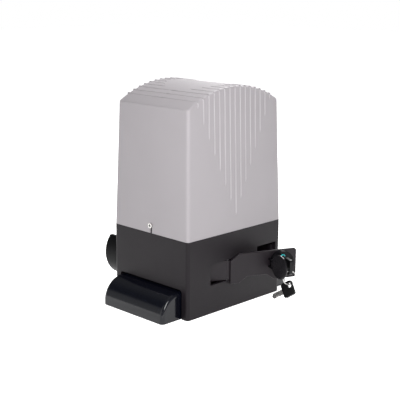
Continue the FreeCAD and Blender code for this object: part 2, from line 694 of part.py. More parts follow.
def slot_tool(name, x, y):
    """Tool for one anchor slot, which runs along X."""
    middle = box(name + "_middle", x + " - anchor_half", y + " - anchor_radius", "- over",
                 "anchor_travel", "anchor_radius + anchor_radius", "ear_height + over + over")
    ends = [cylinder(name + "_near", x + " - anchor_half", y, "- over", "anchor_radius",
                     "ear_height + over + over"),
            cylinder(name + "_far", x + " + anchor_half", y, "- over", "anchor_radius",
                     "ear_height + over + over")]
    return fuse(name, [middle] + ends)


def rounded_block(name, half_x, half_y, low, height, corner):
    """Upright block about the Z axis with round corners."""
    body = new_body(name)
    plan = sketch_in(body, "XY_Plane", low)
    rectangle(plan, opposite(half_x), half_x, opposite(half_y), half_y)
    pad(body, plan, height)
    fillet(body, upright_edges(body.Shape), corner)
    return body


def base_moulding():
    """The moulded tub with its foot recesses, fixing ears and locating lip."""
    outside = rounded_block("tub_outside", "half_width", "half_depth", "0", "base_height",
                            "corner_radius")
    lip = rounded_block("tub_lip", "half_width - lip_inset", "half_depth - lip_inset",
                        "base_height - over", "lip_height + over", "corner_radius - lip_inset")
    recesses = []
    for side, start in (("right", "half_width - recess_depth"), ("left", "- half_width - over")):
        recess = new_body(f"foot_recess_{side}")
        view = sketch_in(recess, "YZ_Plane", start)
        rectangle(view, "- recess_half_length", "recess_half_length", "- over", "recess_height")
        pad(recess, view, "recess_depth + over")
        high = number("recess_height") - 0.1
        top_corners = [f"Edge{index}" for index, edge in enumerate(recess.Shape.Edges, start=1)
                       if edge.CenterOfMass.z > high
                       and abs(edge.CenterOfMass.y) > number("recess_half_length") - 0.1]
        fillet(recess, top_corners, "recess_corner")
        recesses.append(recess)
    shell = cut("tub_shell", fuse("tub_with_lip", [outside, lip]),
                fuse("foot_recesses", recesses))
    ears = rounded_block("fixing_ears", "half_width + ear_reach", "ear_half_length", "0",
                         "ear_height", "ear_corner")
    upper = rounded_block("upper_room", "half_width - base_wall", "half_depth - base_wall",
                          "recess_height + recess_wall",
                          "base_height + lip_height - recess_height - recess_wall + over",
                          "room_corner")
    lower = rounded_block("lower_room", "half_width - recess_depth - recess_wall",
                          "half_depth - base_wall", "base_floor",
                          "recess_height + recess_wall - base_floor + over",
                          "room_corner")
    return cut("base_tub", fuse("tub_with_ears", [shell, ears]),
               fuse("tub_rooms", [upper, lower]))


def make_base():
    tub = base_moulding()
    additions = [tub]
    for side, x in (("right", "lug_outer - lug_thickness"), ("left", "- lug_outer")):
        additions.append(box(f"screw_lug_{side}", x, "cover_screw_y - lug_half_width",
                             "base_height - lug_depth", "lug_thickness",
                             "lug_half_width + lug_half_width",
                             "cover_screw_height - base_height + lug_depth + lug_above"))
    additions.append(box("lock_keeper", "window_x + window_half_width - keeper_reach",
                         "- half_depth + base_wall - over", "lock_height - keeper_half_height",
                         "keeper_reach + keeper_reach", "keeper_depth + over",
                         "keeper_half_height + keeper_half_height"))
    solid = fuse("base_with_lugs", additions)

    tools = []
    for x_side in ("", "- "):
        for y_side in ("", "- "):
            name = "anchor_slot_" + ("right" if x_side == "" else "left")
            name += "_back" if y_side == "" else "_front"
            tools.append(slot_tool(name, x_side + "slot_x", y_side + "slot_y"))
    tools.append(box("tail_window", "hinge_x - tail_length - window_gap",
                     "- half_depth - over", "tail_bottom - window_gap",
                     "tail_length + hinge_reach + window_gap + window_gap",
                     "base_wall + over + over",
                     "tail_top - tail_bottom + window_gap + window_gap"))
    tools.append(box("lock_window", "window_x - window_half_width",
                     "- half_depth - over", "window_bottom",
                     "window_half_width + window_half_width - keeper_reach",
                     "base_wall + keeper_depth + over + over", "window_top - window_bottom"))
    tools.append(box("lock_window_front", "window_x - window_half_width",
                     "- half_depth - over", "window_bottom",
                     "window_half_width + window_half_width",
                     "base_wall + over", "window_top - window_bottom"))
    tools.append(cylinder("hinge_pin_bore", "hinge_x", "hinge_y", "tail_bottom - pin_seat",
                          "lever_pin_radius", "tail_top - tail_bottom + pin_seat + pin_seat"))
    tools.append(cylinder("case_nose_hole", "shaft_x", "half_depth - base_wall - over",
                          "shaft_height", "nose_radius + nose_gap", "base_wall + over + over", *TO_BACK))
    tools.append(cylinder("cable_hole", "cable_x", "cable_y", "- over", "cable_radius",
                          "base_floor + over + over"))
    for side, x in (("right", "lug_outer - lug_thickness - over"), ("left", "- lug_outer - over")):
        tools.append(cylinder(f"lug_bore_{side}", x, "cover_screw_y", "cover_screw_height",
                              "cover_screw_radius + screw_gap", "lug_thickness + over + over",
                              *TO_RIGHT))
    return cut("base_housing", solid, fuse("base_cuts", tools))


def foot_block(name, inner, outer, low, high, half_length, shoulder):
    """Block with a quarter-round shoulder along its outer top edge."""
    body = new_body(name)
    profile = sketch_in(body, "XZ_Plane")
    rectangle(profile, inner, outer, low, high)
    pad(body, profile, half_length + " + " + half_length, both=True)
    edge_x = number(outer) - 0.5
    edge_z = number(high) - 0.5
    long_edges = [f"Edge{index}" for index, edge in enumerate(body.Shape.Edges, start=1)
                  if edge.CenterOfMass.x > edge_x and edge.CenterOfMass.z > edge_z]
    fillet(body, long_edges, shoulder)
    return body


def foot_cover(name, angle):
    """Quarter-round cover over one fixing ear, open below and towards the base."""
    wall_x = "half_width - recess_depth + foot_gap"
    outside = foot_block(name + "_outside", wall_x, "half_width + foot_reach", "0",
                         "foot_height", "foot_half_length", "foot_round")
    rims = [f"Edge{index}" for index, edge in enumerate(outside.Shape.Edges, start=1)
            if abs(edge.CenterOfMass.y) > number("foot_half_length") - 0.1
            and edge.CenterOfMass.z > 1 and edge.CenterOfMass.x > number(wall_x) + 1]
    fillet(outside, rims, "foot_rim_round")
    inside = foot_block(name + "_inside", wall_x + " - 1", "half_width + foot_reach - foot_wall",
                        "- over", "foot_height - foot_wall", "foot_half_length - foot_wall",
                        "foot_round - foot_wall")
    shell = cut(name, outside, inside)
    return place(shell, angle=angle)


# ---------------------------------------------------------------- release lever and lock

# These pieces are modelled in the lever's own axes: X along the lever from the hinge, -Y out of
# the lever, Z up. place_on_lever then stands them on the hinge at the open angle.

def make_lever():
    body = new_body("lever_plate")
    plate = sketch_in(body, "XZ_Plane", "lever_inner")
    outline(plate, [("lever_root", "lever_bottom"), ("lever_foot", "lever_bottom"),
                    ("lever_foot + lever_slant", "lever_neck"),
                    ("lock_x - lever_slant - lever_end", "lever_neck"),
                    ("lock_x - lever_end", "lever_bottom"), ("lever_length", "lever_bottom"),
                    ("lever_length", "lever_top"), ("lever_foot", "lever_top"),
                    ("lever_root", "lever_shoulder")])
    pad(body, plate, "lever_outer - lever_inner")
    free_end = number("lever_length - over")
    corners = [f"Edge{index}" for index, edge in enumerate(body.Shape.Edges, start=1)
               if edge.CenterOfMass.x > free_end and abs(edge.Length
                                                         - number("lever_outer - lever_inner")) < 0.01]
    fillet(body, corners, "lever_corner")
    front = number("lever_outer") - 0.1
    rim = [f"Edge{index}" for index, edge in enumerate(body.Shape.Edges, start=1)
           if edge.CenterOfMass.y < -front]
    fillet(body, rim, "lever_rim")

    tail = box("lever_tail", "- tail_length", "- tail_thickness + tail_set_back", "tail_bottom",
               "tail_length", "tail_thickness", "tail_top - tail_bottom")
    knuckle = cylinder("lever_knuckle", "0", "0", "tail_bottom", "knuckle_radius",
                       "tail_top - tail_bottom")
    web = box("lever_web", "0", "- knuckle_radius", "tail_bottom", "hinge_reach",
              "knuckle_radius", "lever_shoulder - tail_bottom")
    solid = fuse("lever_solid", [body, tail, knuckle, web])
    pin_bore = cylinder("lever_pin_bore", "0", "0", "tail_bottom - over",
                        "lever_pin_radius + running_gap", "tail_top - tail_bottom + over + over")
    lock_bore = cylinder("lever_lock_bore", "lock_x", "0", "lock_height", "lock_barrel_radius",
                         "lever_outer + over", *TO_FRONT)
    lever = cut("release_lever", solid, fuse("lever_bores", [pin_bore, lock_bore]))
    return place_on_lever(lever)


def make_lever_pin():
    """Pin of the lever hinge, tight in the wall and running in the knuckle."""
    pin = cylinder("hinge_pin_rod", "hinge_x", "hinge_y", "tail_bottom - pin_seat",
                   "lever_pin_radius", "tail_top - tail_bottom + pin_seat + pin_seat")
    return group("lever_pin", [pin])


def make_lock_body():
    """Round lock head in front of the lever and its barrel behind, bored for the plug."""
    head = cylinder("lock_head", "lock_x", "- lever_outer", "lock_height", "lock_head_radius",
                    "lock_face - lever_outer", *TO_FRONT)
    barrel = cylinder("lock_barrel", "lock_x", "lock_barrel_length - lever_inner", "lock_height",
                      "lock_barrel_radius",
                      "lock_barrel_length - lever_inner + lever_outer", *TO_FRONT)
    hinge_lug = []
    for side, low in (("upper", "lock_height + flap_lug_inner"),
                      ("lower", "lock_height - flap_lug_inner - flap_lug_height")):
        hinge_lug.append(box(f"flap_lug_{side}", "flap_hinge_x - flap_pin_boss",
                             "- flap_hinge_n - flap_pin_boss", low,
                             "flap_pin_boss + flap_pin_boss + over",
                             "flap_hinge_n + flap_pin_boss - lever_outer", "flap_lug_height"))
    solid = fuse("lock_solid", [head, barrel] + hinge_lug)
    bore = cylinder("plug_bore", "lock_x", "lock_barrel_length - lever_inner + over", "lock_height",
                    "plug_radius + running_gap",
                    "lock_face + lock_barrel_length - lever_inner + over + over", *TO_FRONT)
    seat = cylinder("lock_face_recess", "lock_x", "- lock_face + face_recess", "lock_height",
                    "lock_head_radius - face_rim", "face_recess + over", *TO_FRONT)
    pin_bore = cylinder("flap_pin_bore", "flap_hinge_x", "- flap_hinge_n",
                        "lock_height - flap_lug_inner - flap_lug_height - over", "flap_pin_radius",
                        "flap_lug_inner + flap_lug_inner + flap_lug_height + flap_lug_height + over + over")
    knuckle_room = cylinder("flap_knuckle_room", "flap_hinge_x", "- flap_hinge_n",
                            "lock_height - flap_lug_inner", "flap_knuckle + flap_room",
                            "flap_lug_inner + flap_lug_inner")
    lock = cut("lock_body", solid, fuse("lock_cuts", [bore, seat, pin_bore, knuckle_room]))
    return place_on_lever(lock)


def make_lock_nut():
    """Ring nut that clamps the lock to the lever from behind."""
    ring = cylinder("lock_nut_disc", "lock_x", "- lever_inner + lock_nut_height", "lock_height",
                    "lock_nut_radius", "lock_nut_height", *TO_FRONT)
    bore = cylinder("lock_nut_bore", "lock_x", "- lever_inner + lock_nut_height + over",
                    "lock_height", "lock_barrel_radius", "lock_nut_height + over + over", *TO_FRONT)
    return place_on_lever(cut("lock_nut", ring, bore))


def make_flap_pin():
    pin = cylinder("flap_pin_rod", "flap_hinge_x", "- flap_hinge_n",
                   "lock_height - flap_lug_inner - flap_lug_height", "flap_pin_radius",
                   "flap_lug_inner + flap_lug_inner + flap_lug_height + flap_lug_height")
    return place_on_lever(group("flap_pin", [pin]))


def make_flap():
    """Round dust flap with its knuckle, modelled shut about its own hinge axis."""
    flat = cylinder("flap_disc", "flap_radius", "- flap_set_off", "0", "flap_radius",
                    "flap_thickness", *TO_FRONT)
    dome = doc.addObject("Part::Sphere", "flap_dome_ball")
    dome.setExpression("Radius", "dims.flap_dome")
    place(dome, "flap_radius", "flap_dome - flap_set_off - flap_thickness")
    disc = common("flap_domed", flat, dome)
    knuckle = cylinder("flap_knuckle_rod", "0", "0", "- flap_lug_inner + flap_end_gap",
                       "flap_knuckle", "flap_lug_inner + flap_lug_inner - flap_end_gap"
                       " - flap_end_gap")
    arm = box("flap_arm", "0", "- flap_set_off - flap_arm_thick",
              "- flap_lug_inner + flap_end_gap", "flap_arm_length",
              "flap_set_off + flap_arm_thick", "flap_lug_inner + flap_lug_inner - flap_end_gap"
              " - flap_end_gap")
    solid = fuse("flap_solid", [disc, knuckle, arm])
    bore = cylinder("flap_knuckle_bore", "0", "0", "- flap_lug_inner - over",
                    "flap_pin_radius + running_gap", "flap_lug_inner + flap_lug_inner + over + over")
    notches = [bore]
    for side, low in (("upper", "flap_lug_inner - flap_end_gap"),
                      ("lower", "- flap_lug_inner - flap_lug_height - flap_end_gap")):
        notches.append(box(f"flap_notch_{side}", "- flap_pin_boss", "- flap_radius", low,
                           "flap_pin_boss + flap_pin_boss + flap_notch", "flap_radius",
                           "flap_lug_height + flap_end_gap + flap_end_gap"))
    flap = cut("lock_flap", solid, fuse("flap_cuts", notches))
    place(flap, "flap_world_x", "flap_world_y", "lock_height", (0, 0, -1),
          number("lever_angle") + number("flap_angle"))
    flap.setExpression("Placement.Rotation.Angle", "dims.lever_angle + dims.flap_angle")
    return flap


def make_plug():
    """Turning plug of the lock with a slot for the blade."""
    plug = cylinder("plug_rod", "lock_x", "lock_barrel_length - lever_inner + plug_tail",
                    "lock_height", "plug_radius",
                    "lock_face - face_recess + lock_barrel_length - lever_inner + plug_tail",
                    *TO_FRONT)
    slot = box("plug_slot", "lock_x - blade_half_thickness - blade_gap",
               "- lock_face - over", "lock_height - blade_half_width - blade_gap",
               "blade_thickness + blade_gap + blade_gap",
               "blade_in_lock + blade_gap + over",
               "blade_width + blade_gap + blade_gap")
    return place_on_lever(cut("lock_plug", plug, slot))


def make_lock_cam():
    """Bolt tongue on the back end of the plug, hanging down while the lock is open."""
    hub = cylinder("cam_hub", "lock_x", "lock_barrel_length - lever_inner + plug_tail + cam_thick",
                   "lock_height", "plug_radius", "cam_thick", *TO_FRONT)
    arm = box("cam_arm", "lock_x - cam_half_width",
              "lock_barrel_length - lever_inner + plug_tail", "lock_height - cam_reach",
              "cam_half_width + cam_half_width", "cam_thick", "cam_reach")
    return place_on_lever(fuse("lock_cam", [hub, arm]))


def key_bow(name):
    """Moulded key bow about the ring hole: X is the thickness, -Y the outer end, Z across."""
    body = new_body(name + "_block")
    plan = sketch_in(body, "YZ_Plane")
    rectangle(plan, "- bow_hole_in", "bow_length - bow_hole_in",
              "bow_hole_side - bow_half_width", "bow_hole_side + bow_half_width")
    pad(body, plan, "bow_thickness", both=True)
    thickness = number("bow_thickness")
    corners = [f"Edge{index}" for index, edge in enumerate(body.Shape.Edges, start=1)
               if abs(edge.Length - thickness) < 0.01]
    fillet(body, corners, "bow_corner")
    hole = cylinder(name + "_hole", "- bow_thickness", "0", "0", "bow_hole_radius",
                    "bow_thickness + bow_thickness", *TO_RIGHT)
    stem = box(name + "_blade_seat", "- blade_half_thickness", "bow_length - bow_hole_in"
               " - blade_root", "bow_hole_side - blade_half_width", "blade_thickness",
               "blade_root + over", "blade_width")
    return cut(name, body, fuse(name + "_cuts", [hole, stem]))


def key_blade(name, outside):
    """Blade with bitting cuts, on the same axes as its bow; outside is its free length."""
    body = new_body(name)
    plan = sketch_in(body, "YZ_Plane")
    start = "bow_length - bow_hole_in - blade_root"
    tip = "bow_length - bow_hole_in + " + outside
    low = "bow_hole_side - blade_half_width"
    high = "bow_hole_side + blade_half_width"
    outline(plan, [(start, low), (tip + " - bit_pitch", low), (tip, "bow_hole_side"),
                   (tip + " - bit_pitch", high), (tip + " - bit_pitch - bit_pitch", high),
                   (tip + " - bit_pitch - bit_pitch - bit_half", high + " - bit_depth"),
                   (tip + " - bit_pitch - bit_pitch - bit_pitch", high),
                   (tip + " - bit_pitch - bit_pitch - bit_pitch - bit_half",
                    high + " - bit_depth"),
                   (tip + " - bit_pitch - bit_pitch - bit_pitch - bit_pitch", high),
                   (start, high)])
    pad(body, plan, "blade_thickness", both=True)
    return body


def make_key(prefix, outside):
    bow = key_bow(prefix + "_bow")
    blade = key_blade(prefix + "_blade", outside)
    return bow, blade


def stand_key_in_lock(piece):
    """The first key's ring hole stands in front of the lock, its blade in the plug."""
    place(piece, "key_world_x", "key_world_y", "hole_height", (0, 0, -1), number("lever_angle"))
    piece.setExpression("Placement.Rotation.Angle", "dims.lever_angle")
    return piece


def hang_spare_key(piece):
    """The spare key hangs by its hole from the bottom of the ring, turned, dipped and rolled."""
    place(piece, "key_world_x", "key_world_y - spare_forward", "spare_hole_height")
    heading = math.radians(-number("lever_angle") - number("spare_twist"))
    dip = math.radians(number("spare_tilt"))
    aside = FreeCAD.Vector(math.cos(heading), math.sin(heading), 0)
    up = FreeCAD.Vector(0, 0, 1)
    along_blade = aside * -math.cos(dip) - up * math.sin(dip)
    away_from_hole = aside * math.sin(dip) - up * math.cos(dip)
    across = along_blade.cross(away_from_hole)
    turn = FreeCAD.Rotation(across, along_blade, away_from_hole, "XYZ")
    roll = FreeCAD.Rotation(along_blade, number("spare_roll"))
    piece.Placement = FreeCAD.Placement(piece.Placement.Base, roll.multiply(turn))
    return piece


def make_ring():
    torus = doc.addObject("Part::Torus", "ring_torus")
    for size, text in (("Radius1", "ring_radius"), ("Radius2", "ring_wire")):
        setattr(torus, size, number(text))
        torus.setExpression(size, formula(text))
    place(torus, "0", "0", "0", (1, 0, 0), 90)
    ring = group("key_ring", [torus])
    place(ring, "key_world_x", "key_world_y", "ring_height", (0, 0, -1), number("lever_angle"))
    ring.setExpression("Placement.Rotation.Angle", "dims.lever_angle")
    return ring


# ---------------------------------------------------------------- gear train

def make_pinion():
    """Drive pinion with involute-like teeth, a hub step and a bore for the shaft."""
    body = new_body("pinion_toothed")
    blank = sketch_in(body, "XY_Plane")
    circle(blank, "0", "0", "tooth_root")
    pad(body, blank, "pinion_width")
    tooth = sketch_in(body, "XY_Plane")
    outline(tooth, [("- tooth_foot_half", "tooth_root - over"), ("tooth_foot_half", "tooth_root - over"),
                    ("tooth_pitch_half", "pinion_radius"), ("tooth_tip_half", "tooth_tip"),
                    ("- tooth_tip_half", "tooth_tip"), ("- tooth_pitch_half", "pinion_radius")])
    one = pad(body, tooth, "pinion_width")
    pattern = body.newObject("PartDesign::PolarPattern", "pinion_teeth_pattern")
    pattern.Originals = [one]
    pattern.Axis = (blank, ["N_Axis"])
    pattern.Angle = 360
    pattern.Occurrences = int(number("pinion_teeth"))
    pattern.setExpression("Occurrences", "dims.pinion_teeth")
    body.Tip = pattern
    doc.recompute()
    bore = cylinder("pinion_bore", "0", "0", "- over", "shaft_radius", "pinion_width + over + over")
    pinion = cut("drive_pinion", body, bore)
    return place(pinion, "shaft_x", "half_depth + pinion_start", "shaft_height", *TO_BACK)


def make_pinion_guard():
    """Round guard about the pinion, cut flat on top where the rack passes."""
    outer = cylinder("guard_outer", "shaft_x", "half_depth", "shaft_height", "guard_radius",
                     "guard_reach", *TO_BACK)
    inner = cylinder("guard_inner", "shaft_x", "half_depth + guard_flange", "shaft_height",
                     "guard_radius - guard_wall", "guard_reach", *TO_BACK)
    bore = cylinder("guard_nose_bore", "shaft_x", "half_depth - over", "shaft_height",
                    "guard_bore", "guard_flange + over + over", *TO_BACK)
    top = box("guard_open_top", "shaft_x - guard_radius", "half_depth + guard_flange",
              "guard_top", "guard_radius + guard_radius", "guard_reach",
              "guard_radius + guard_radius")
    top_back = box("guard_flat_top", "shaft_x - guard_radius", "half_depth - over", "guard_top",
                   "guard_radius + guard_radius", "guard_reach + over + over",
                   "guard_radius + guard_radius")
    return cut("pinion_guard", outer, fuse("guard_cuts", [inner, bore, top, top_back]))


def make_output_shaft():
    body = new_body("output_shaft")
    revolve(body, [("0", "0"), ("shaft_radius", "0"),
                   ("shaft_radius", "shaft_end - case_front + shaft_stub"),
                   ("shaft_radius - nib_step", "shaft_end - case_front + shaft_stub"),
                   ("shaft_radius - nib_step", "shaft_end - case_front + shaft_stub + shaft_nib"),
                   ("0", "shaft_end - case_front + shaft_stub + shaft_nib")])
    return place(body, "shaft_x", "case_front - shaft_stub", "shaft_height", *TO_BACK)


def make_worm_wheel():
    """Bronze wheel with a throated rim that wraps round the worm."""
    disc = cylinder("wheel_disc", "0", "0", "- wheel_half", "wheel_radius", "wheel_width")
    hub = cylinder("wheel_hub", "0", "0", "- wheel_half - hub_step", "hub_radius",
                   "wheel_width + hub_step + hub_step")
    throat = doc.addObject("Part::Torus", "wheel_throat")
    throat.setExpression("Radius1", "dims.mesh_distance")
    throat.setExpression("Radius2", "dims.worm_radius + dims.mesh_gap")
    bore = cylinder("wheel_bore", "0", "0", "- wheel_width", "shaft_radius",
                    "wheel_width + wheel_width")
    wheel = cut("worm_wheel", fuse("wheel_solid", [disc, hub]), fuse("wheel_cuts", [throat, bore]))
    return place(wheel, "shaft_x", "wheel_y", "shaft_height", *TO_BACK)


def make_gearbox_case():
    """Cast case: wheel chamber, worm tower, motor flange, nose through the base and feet."""
    chamber = cylinder("case_barrel", "shaft_x", "case_front", "shaft_height", "case_radius",
                       "half_depth - base_wall - case_front", *TO_BACK)
    nose = cylinder("case_nose", "shaft_x", "half_depth - base_wall - over", "shaft_height",
                    "nose_radius", "base_wall + over", *TO_BACK)
    tower = cylinder("case_tower", "worm_x", "wheel_y", "worm_bottom - case_floor", "tower_radius",
                     "motor_bottom - worm_bottom + case_floor")
    bridge = box("case_bridge", "shaft_x", "wheel_y - tower_radius", "worm_bottom - case_floor",
                 "mesh_distance", "tower_radius + tower_radius",
                 "motor_bottom - flange_height - worm_bottom + case_floor")
    flange = cylinder("case_flange", "worm_x", "wheel_y", "motor_bottom - flange_height",
                      "motor_radius", "flange_height")
    foot = box("case_foot", "shaft_x - case_foot_half", "case_front + case_end",
               "base_floor", "case_foot_half + case_foot_half",
               "half_depth - base_wall - case_front - case_end - case_end", "shaft_height - case_radius")
    solid = fuse("case_solid", [chamber, nose, tower, bridge, flange, foot])
    room = cylinder("wheel_room", "shaft_x", "wheel_y - wheel_half - hub_step - over",
                    "shaft_height", "wheel_radius + chamber_gap",
                    "wheel_width + hub_step + hub_step + over + over", *TO_BACK)
    shaft_bore = cylinder("case_shaft_bore", "shaft_x", "case_front - over", "shaft_height",
                          "shaft_radius + shaft_room", "base_depth", *TO_BACK)
    front_seat = cylinder("front_bearing_seat", "shaft_x", "case_front - over", "shaft_height",
                          "bearing_radius", "bearing_width + over", *TO_BACK)
    back_seat = cylinder("back_bearing_seat", "shaft_x",
                         "half_depth - seal_width - bearing_width",
                         "shaft_height", "bearing_radius", "bearing_width + seal_width + over",
                         *TO_BACK)
    worm_room = cylinder("worm_room", "worm_x", "wheel_y", "worm_bottom - worm_end_gap",
                         "worm_radius + chamber_gap", "worm_top - worm_bottom + worm_end_gap")
    journal = cylinder("worm_journal_bore", "worm_x", "wheel_y", "worm_bottom - worm_end_gap",
                       "rotor_shaft_radius + running_gap", "base_depth")
    tools = fuse("case_cuts", [room, shaft_bore, front_seat, back_seat, worm_room, journal])
    return cut("gearbox_case", solid, tools)


def ring_along_y(name, y, outer, inner, width):
    body = cylinder(name + "_outer", "shaft_x", y, "shaft_height", outer, width, *TO_BACK)
    bore = cylinder(name + "_bore", "shaft_x", y + " - 1", "shaft_height", inner, width + " + 2",
                    *TO_BACK)
    return cut(name, body, bore)


def make_bearings():
    front = ring_along_y("front_bearing", "case_front", "bearing_radius",
                         "shaft_radius + running_gap", "bearing_width")
    back = ring_along_y("back_bearing", "half_depth - seal_width - bearing_width",
                        "bearing_radius", "shaft_radius + running_gap", "bearing_width")
    return group("shaft_bearings", [front, back])


def make_oil_seal():
    return ring_along_y("oil_seal", "half_depth - seal_width", "bearing_radius",
                        "shaft_radius + running_gap", "seal_width")


def make_pinion_retainer():
    """Washer that holds the pinion on the shaft."""
    washer = cylinder("retainer_washer", "shaft_x", "half_depth + pinion_start + pinion_width",
                      "shaft_height", "washer_radius", "washer_thickness", *TO_BACK)
    bore = cylinder("retainer_bore", "shaft_x", "half_depth + pinion_start + pinion_width - over",
                    "shaft_height", "shaft_radius - nib_step", "washer_thickness + over + over", *TO_BACK)
    return cut("pinion_retainer", washer, bore)


# ---------------------------------------------------------------- motor

def make_worm_shaft():
    """Rotor shaft that ends in the worm."""
    body = new_body("worm_shaft")
    revolve(body, [("0", "worm_bottom"), ("worm_radius", "worm_bottom"),
                   ("worm_radius", "worm_top"), ("rotor_shaft_radius", "worm_top"),
                   ("rotor_shaft_radius", "motor_top + end_bell_height + shaft_stub"),
                   ("0", "motor_top + end_bell_height + shaft_stub")])
    return place(body, "worm_x", "wheel_y")


def tube(name, low, outer, inner, height):
    """Upright tube on the motor axis."""
    solid = cylinder(name + "_outer", "worm_x", "wheel_y", low, outer, height)
    bore = cylinder(name + "_bore", "worm_x", "wheel_y", low + " - over", inner, height + " + over + over")
    return cut(name, solid, bore)


def make_stator():
    """Stator can with a waist between its two rims."""
    can = cylinder("stator_can", "worm_x", "wheel_y", "motor_bottom", "motor_radius - fin_depth",
                   "motor_height")
    rim_low = cylinder("stator_rim_low", "worm_x", "wheel_y", "motor_bottom", "motor_radius",
                       "rim_height")
    rim_high = cylinder("stator_rim_high", "worm_x", "wheel_y", "motor_top - rim_height",
                        "motor_radius", "rim_height")
    solid = fuse("stator_solid", [can, rim_low, rim_high])
    bore = cylinder("stator_bore", "worm_x", "wheel_y", "motor_bottom - over",
                    "rotor_radius + air_gap", "motor_height + over + over")
    return cut("motor_stator", solid, bore)


def make_capacitor():
    can = cylinder("capacitor_can", "capacitor_x", "capacitor_y", "base_height - lip_height",
                   "capacitor_radius", "capacitor_height")
    return group("capacitor", [can])


def make_capacitor_clip():
    """Shelf and clip that hold the capacitor to the base wall."""
    shelf = box("capacitor_shelf", "capacitor_x - capacitor_radius - clip_wall",
                "capacitor_y - capacitor_radius - clip_wall", "base_height - lip_height - shelf_thick",
                "half_width - base_wall - capacitor_x + capacitor_radius + clip_wall",
                "capacitor_radius + capacitor_radius + clip_wall + clip_wall", "shelf_thick")
    clip = cylinder("capacitor_clip_outer", "capacitor_x", "capacitor_y",
                    "base_height - lip_height", "capacitor_radius + clip_wall", "clip_height")
    bore = cylinder("capacitor_clip_bore", "capacitor_x", "capacitor_y",
                    "base_height - lip_height", "capacitor_radius", "clip_height + over")
    return fuse("capacitor_holder", [shelf, cut("capacitor_clip", clip, bore)])


def make_transformer():
    """Transformer on the back of the board's tray: iron core and the coil round it."""
    core = box("transformer_core", "transformer_x", "tray_back_y", "board_low",
               "transformer_width", "transformer_depth", "transformer_height")
    coil = box("transformer_coil", "transformer_x + coil_inset", "tray_back_y + coil_inset",
               "board_low + coil_low", "transformer_width - coil_inset - coil_inset",
               "transformer_depth", "transformer_height - coil_low - coil_low")
    return fuse("transformer", [core, coil])


def make_control_board():
    """Circuit board that stands across the front, behind the cover."""
    board = box("board_sheet", "- board_half_width", "board_y", "board_low",
                "board_half_width + board_half_width", "board_thick", "board_height")
    return group("control_board", [board])


def make_board_tray():
    """Tray behind the board, with spacers to it and two feet on the front wall."""
    back = box("tray_back", "- board_half_width - tray_edge", "board_y + board_thick + tray_gap",
               "board_low - tray_edge",
               "board_half_width + board_half_width + tray_edge + tray_edge", "tray_thick",
               "board_height + tray_edge + tray_edge")
    foot_x = []
    for side, x in (("left", "- board_half_width"), ("right", "board_half_width - tray_foot")):
        foot_x.append(box(f"tray_foot_{side}", x, "- half_depth + base_wall",
                          "base_height - tray_foot", "tray_foot",
                          "half_depth - base_wall + board_y + board_thick + tray_gap + tray_thick",
                          "tray_foot + board_low - base_height"))
    spacers = []
    for side, x in (("left", "- board_half_width + spacer_inset"),
                    ("right", "board_half_width - spacer_inset")):
        for level, z in (("low", "board_low + spacer_inset"),
                         ("high", "board_low + board_height - spacer_inset")):
            spacers.append(cylinder(f"tray_spacer_{side}_{level}", x, "board_y + board_thick", z,
                                    "spacer_radius", "tray_gap + tray_thick", *TO_BACK))
    return fuse("board_tray", [back] + foot_x + spacers)


def make_terminals():
    """Row of screw terminals along the lower edge of the board."""
    blocks = []
    for step in range(4):
        shift = " + terminal_pitch" * step
        blocks.append(box(f"terminal_{step + 1}", "- board_half_width + spacer_inset + spacer_inset"
                          + shift, "board_y - terminal_depth", "board_low + spacer_inset",
                          "terminal_width", "terminal_depth", "terminal_height"))
    return group("terminal_blocks", blocks)


def make_relays():
    blocks = []
    for step in range(3):
        shift = " + relay_pitch" * step
        blocks.append(box(f"relay_{step + 1}", "- relay_start" + shift,
                          "board_y - relay_depth", "board_low + board_height - relay_height - relay_drop",
                          "relay_width", "relay_depth", "relay_height"))
    return group("board_relays", blocks)


def make_limit_sensor():
    """Limit sensor on the inner face of the back wall, standing on the gear case."""
    block = box("sensor_block", "sensor_x", "half_depth - base_wall - sensor_depth",
                "shaft_height + case_radius", "sensor_width", "sensor_depth", "sensor_height")
    return group("limit_sensor", [block])


def make_cable_gland():
    """Rubber gland in the cable entry of the floor."""
    flange = cylinder("gland_flange", "cable_x", "cable_y", "base_floor",
                      "cable_radius + gland_rim", "gland_rim")
    plug = cylinder("gland_plug", "cable_x", "cable_y", "gland_inset", "cable_radius", "base_floor")
    bore = cylinder("gland_bore", "cable_x", "cable_y", "0", "gland_bore_radius",
                    "base_floor + base_floor + gland_rim")
    return cut("cable_gland", fuse("gland_solid", [flange, plug]), bore)


def make_guard_screws():
    """Three screws that hold the pinion guard to the back of the base."""
    heads = []
    for step in range(3):
        angle = math.radians(-150 + 60 * step)
        x = number("shaft_x") + number("guard_screw_circle") * math.cos(angle)
        z = number("shaft_height") + number("guard_screw_circle") * math.sin(angle)
        head = doc.addObject("Part::Cylinder", f"guard_screw_{step + 1}")
        head.setExpression("Radius", "dims.guard_screw_radius")
        head.setExpression("Height", "dims.guard_screw_height")
        y = number("half_depth") + number("guard_flange")
        turn = FreeCAD.Rotation(FreeCAD.Vector(1, 0, 0), -90)
        head.Placement = FreeCAD.Placement(FreeCAD.Vector(x, y, z), turn)
        ray = f"{-150 + 60 * step} * 1deg"
        head.setExpression("Placement.Base.x", f"dims.shaft_x + dims.guard_screw_circle * cos({ray})")
        head.setExpression("Placement.Base.y", "dims.half_depth + dims.guard_flange")
        head.setExpression("Placement.Base.z",
                           f"dims.shaft_height + dims.guard_screw_circle * sin({ray})")
        heads.append(head)
    return group("guard_screws", heads)


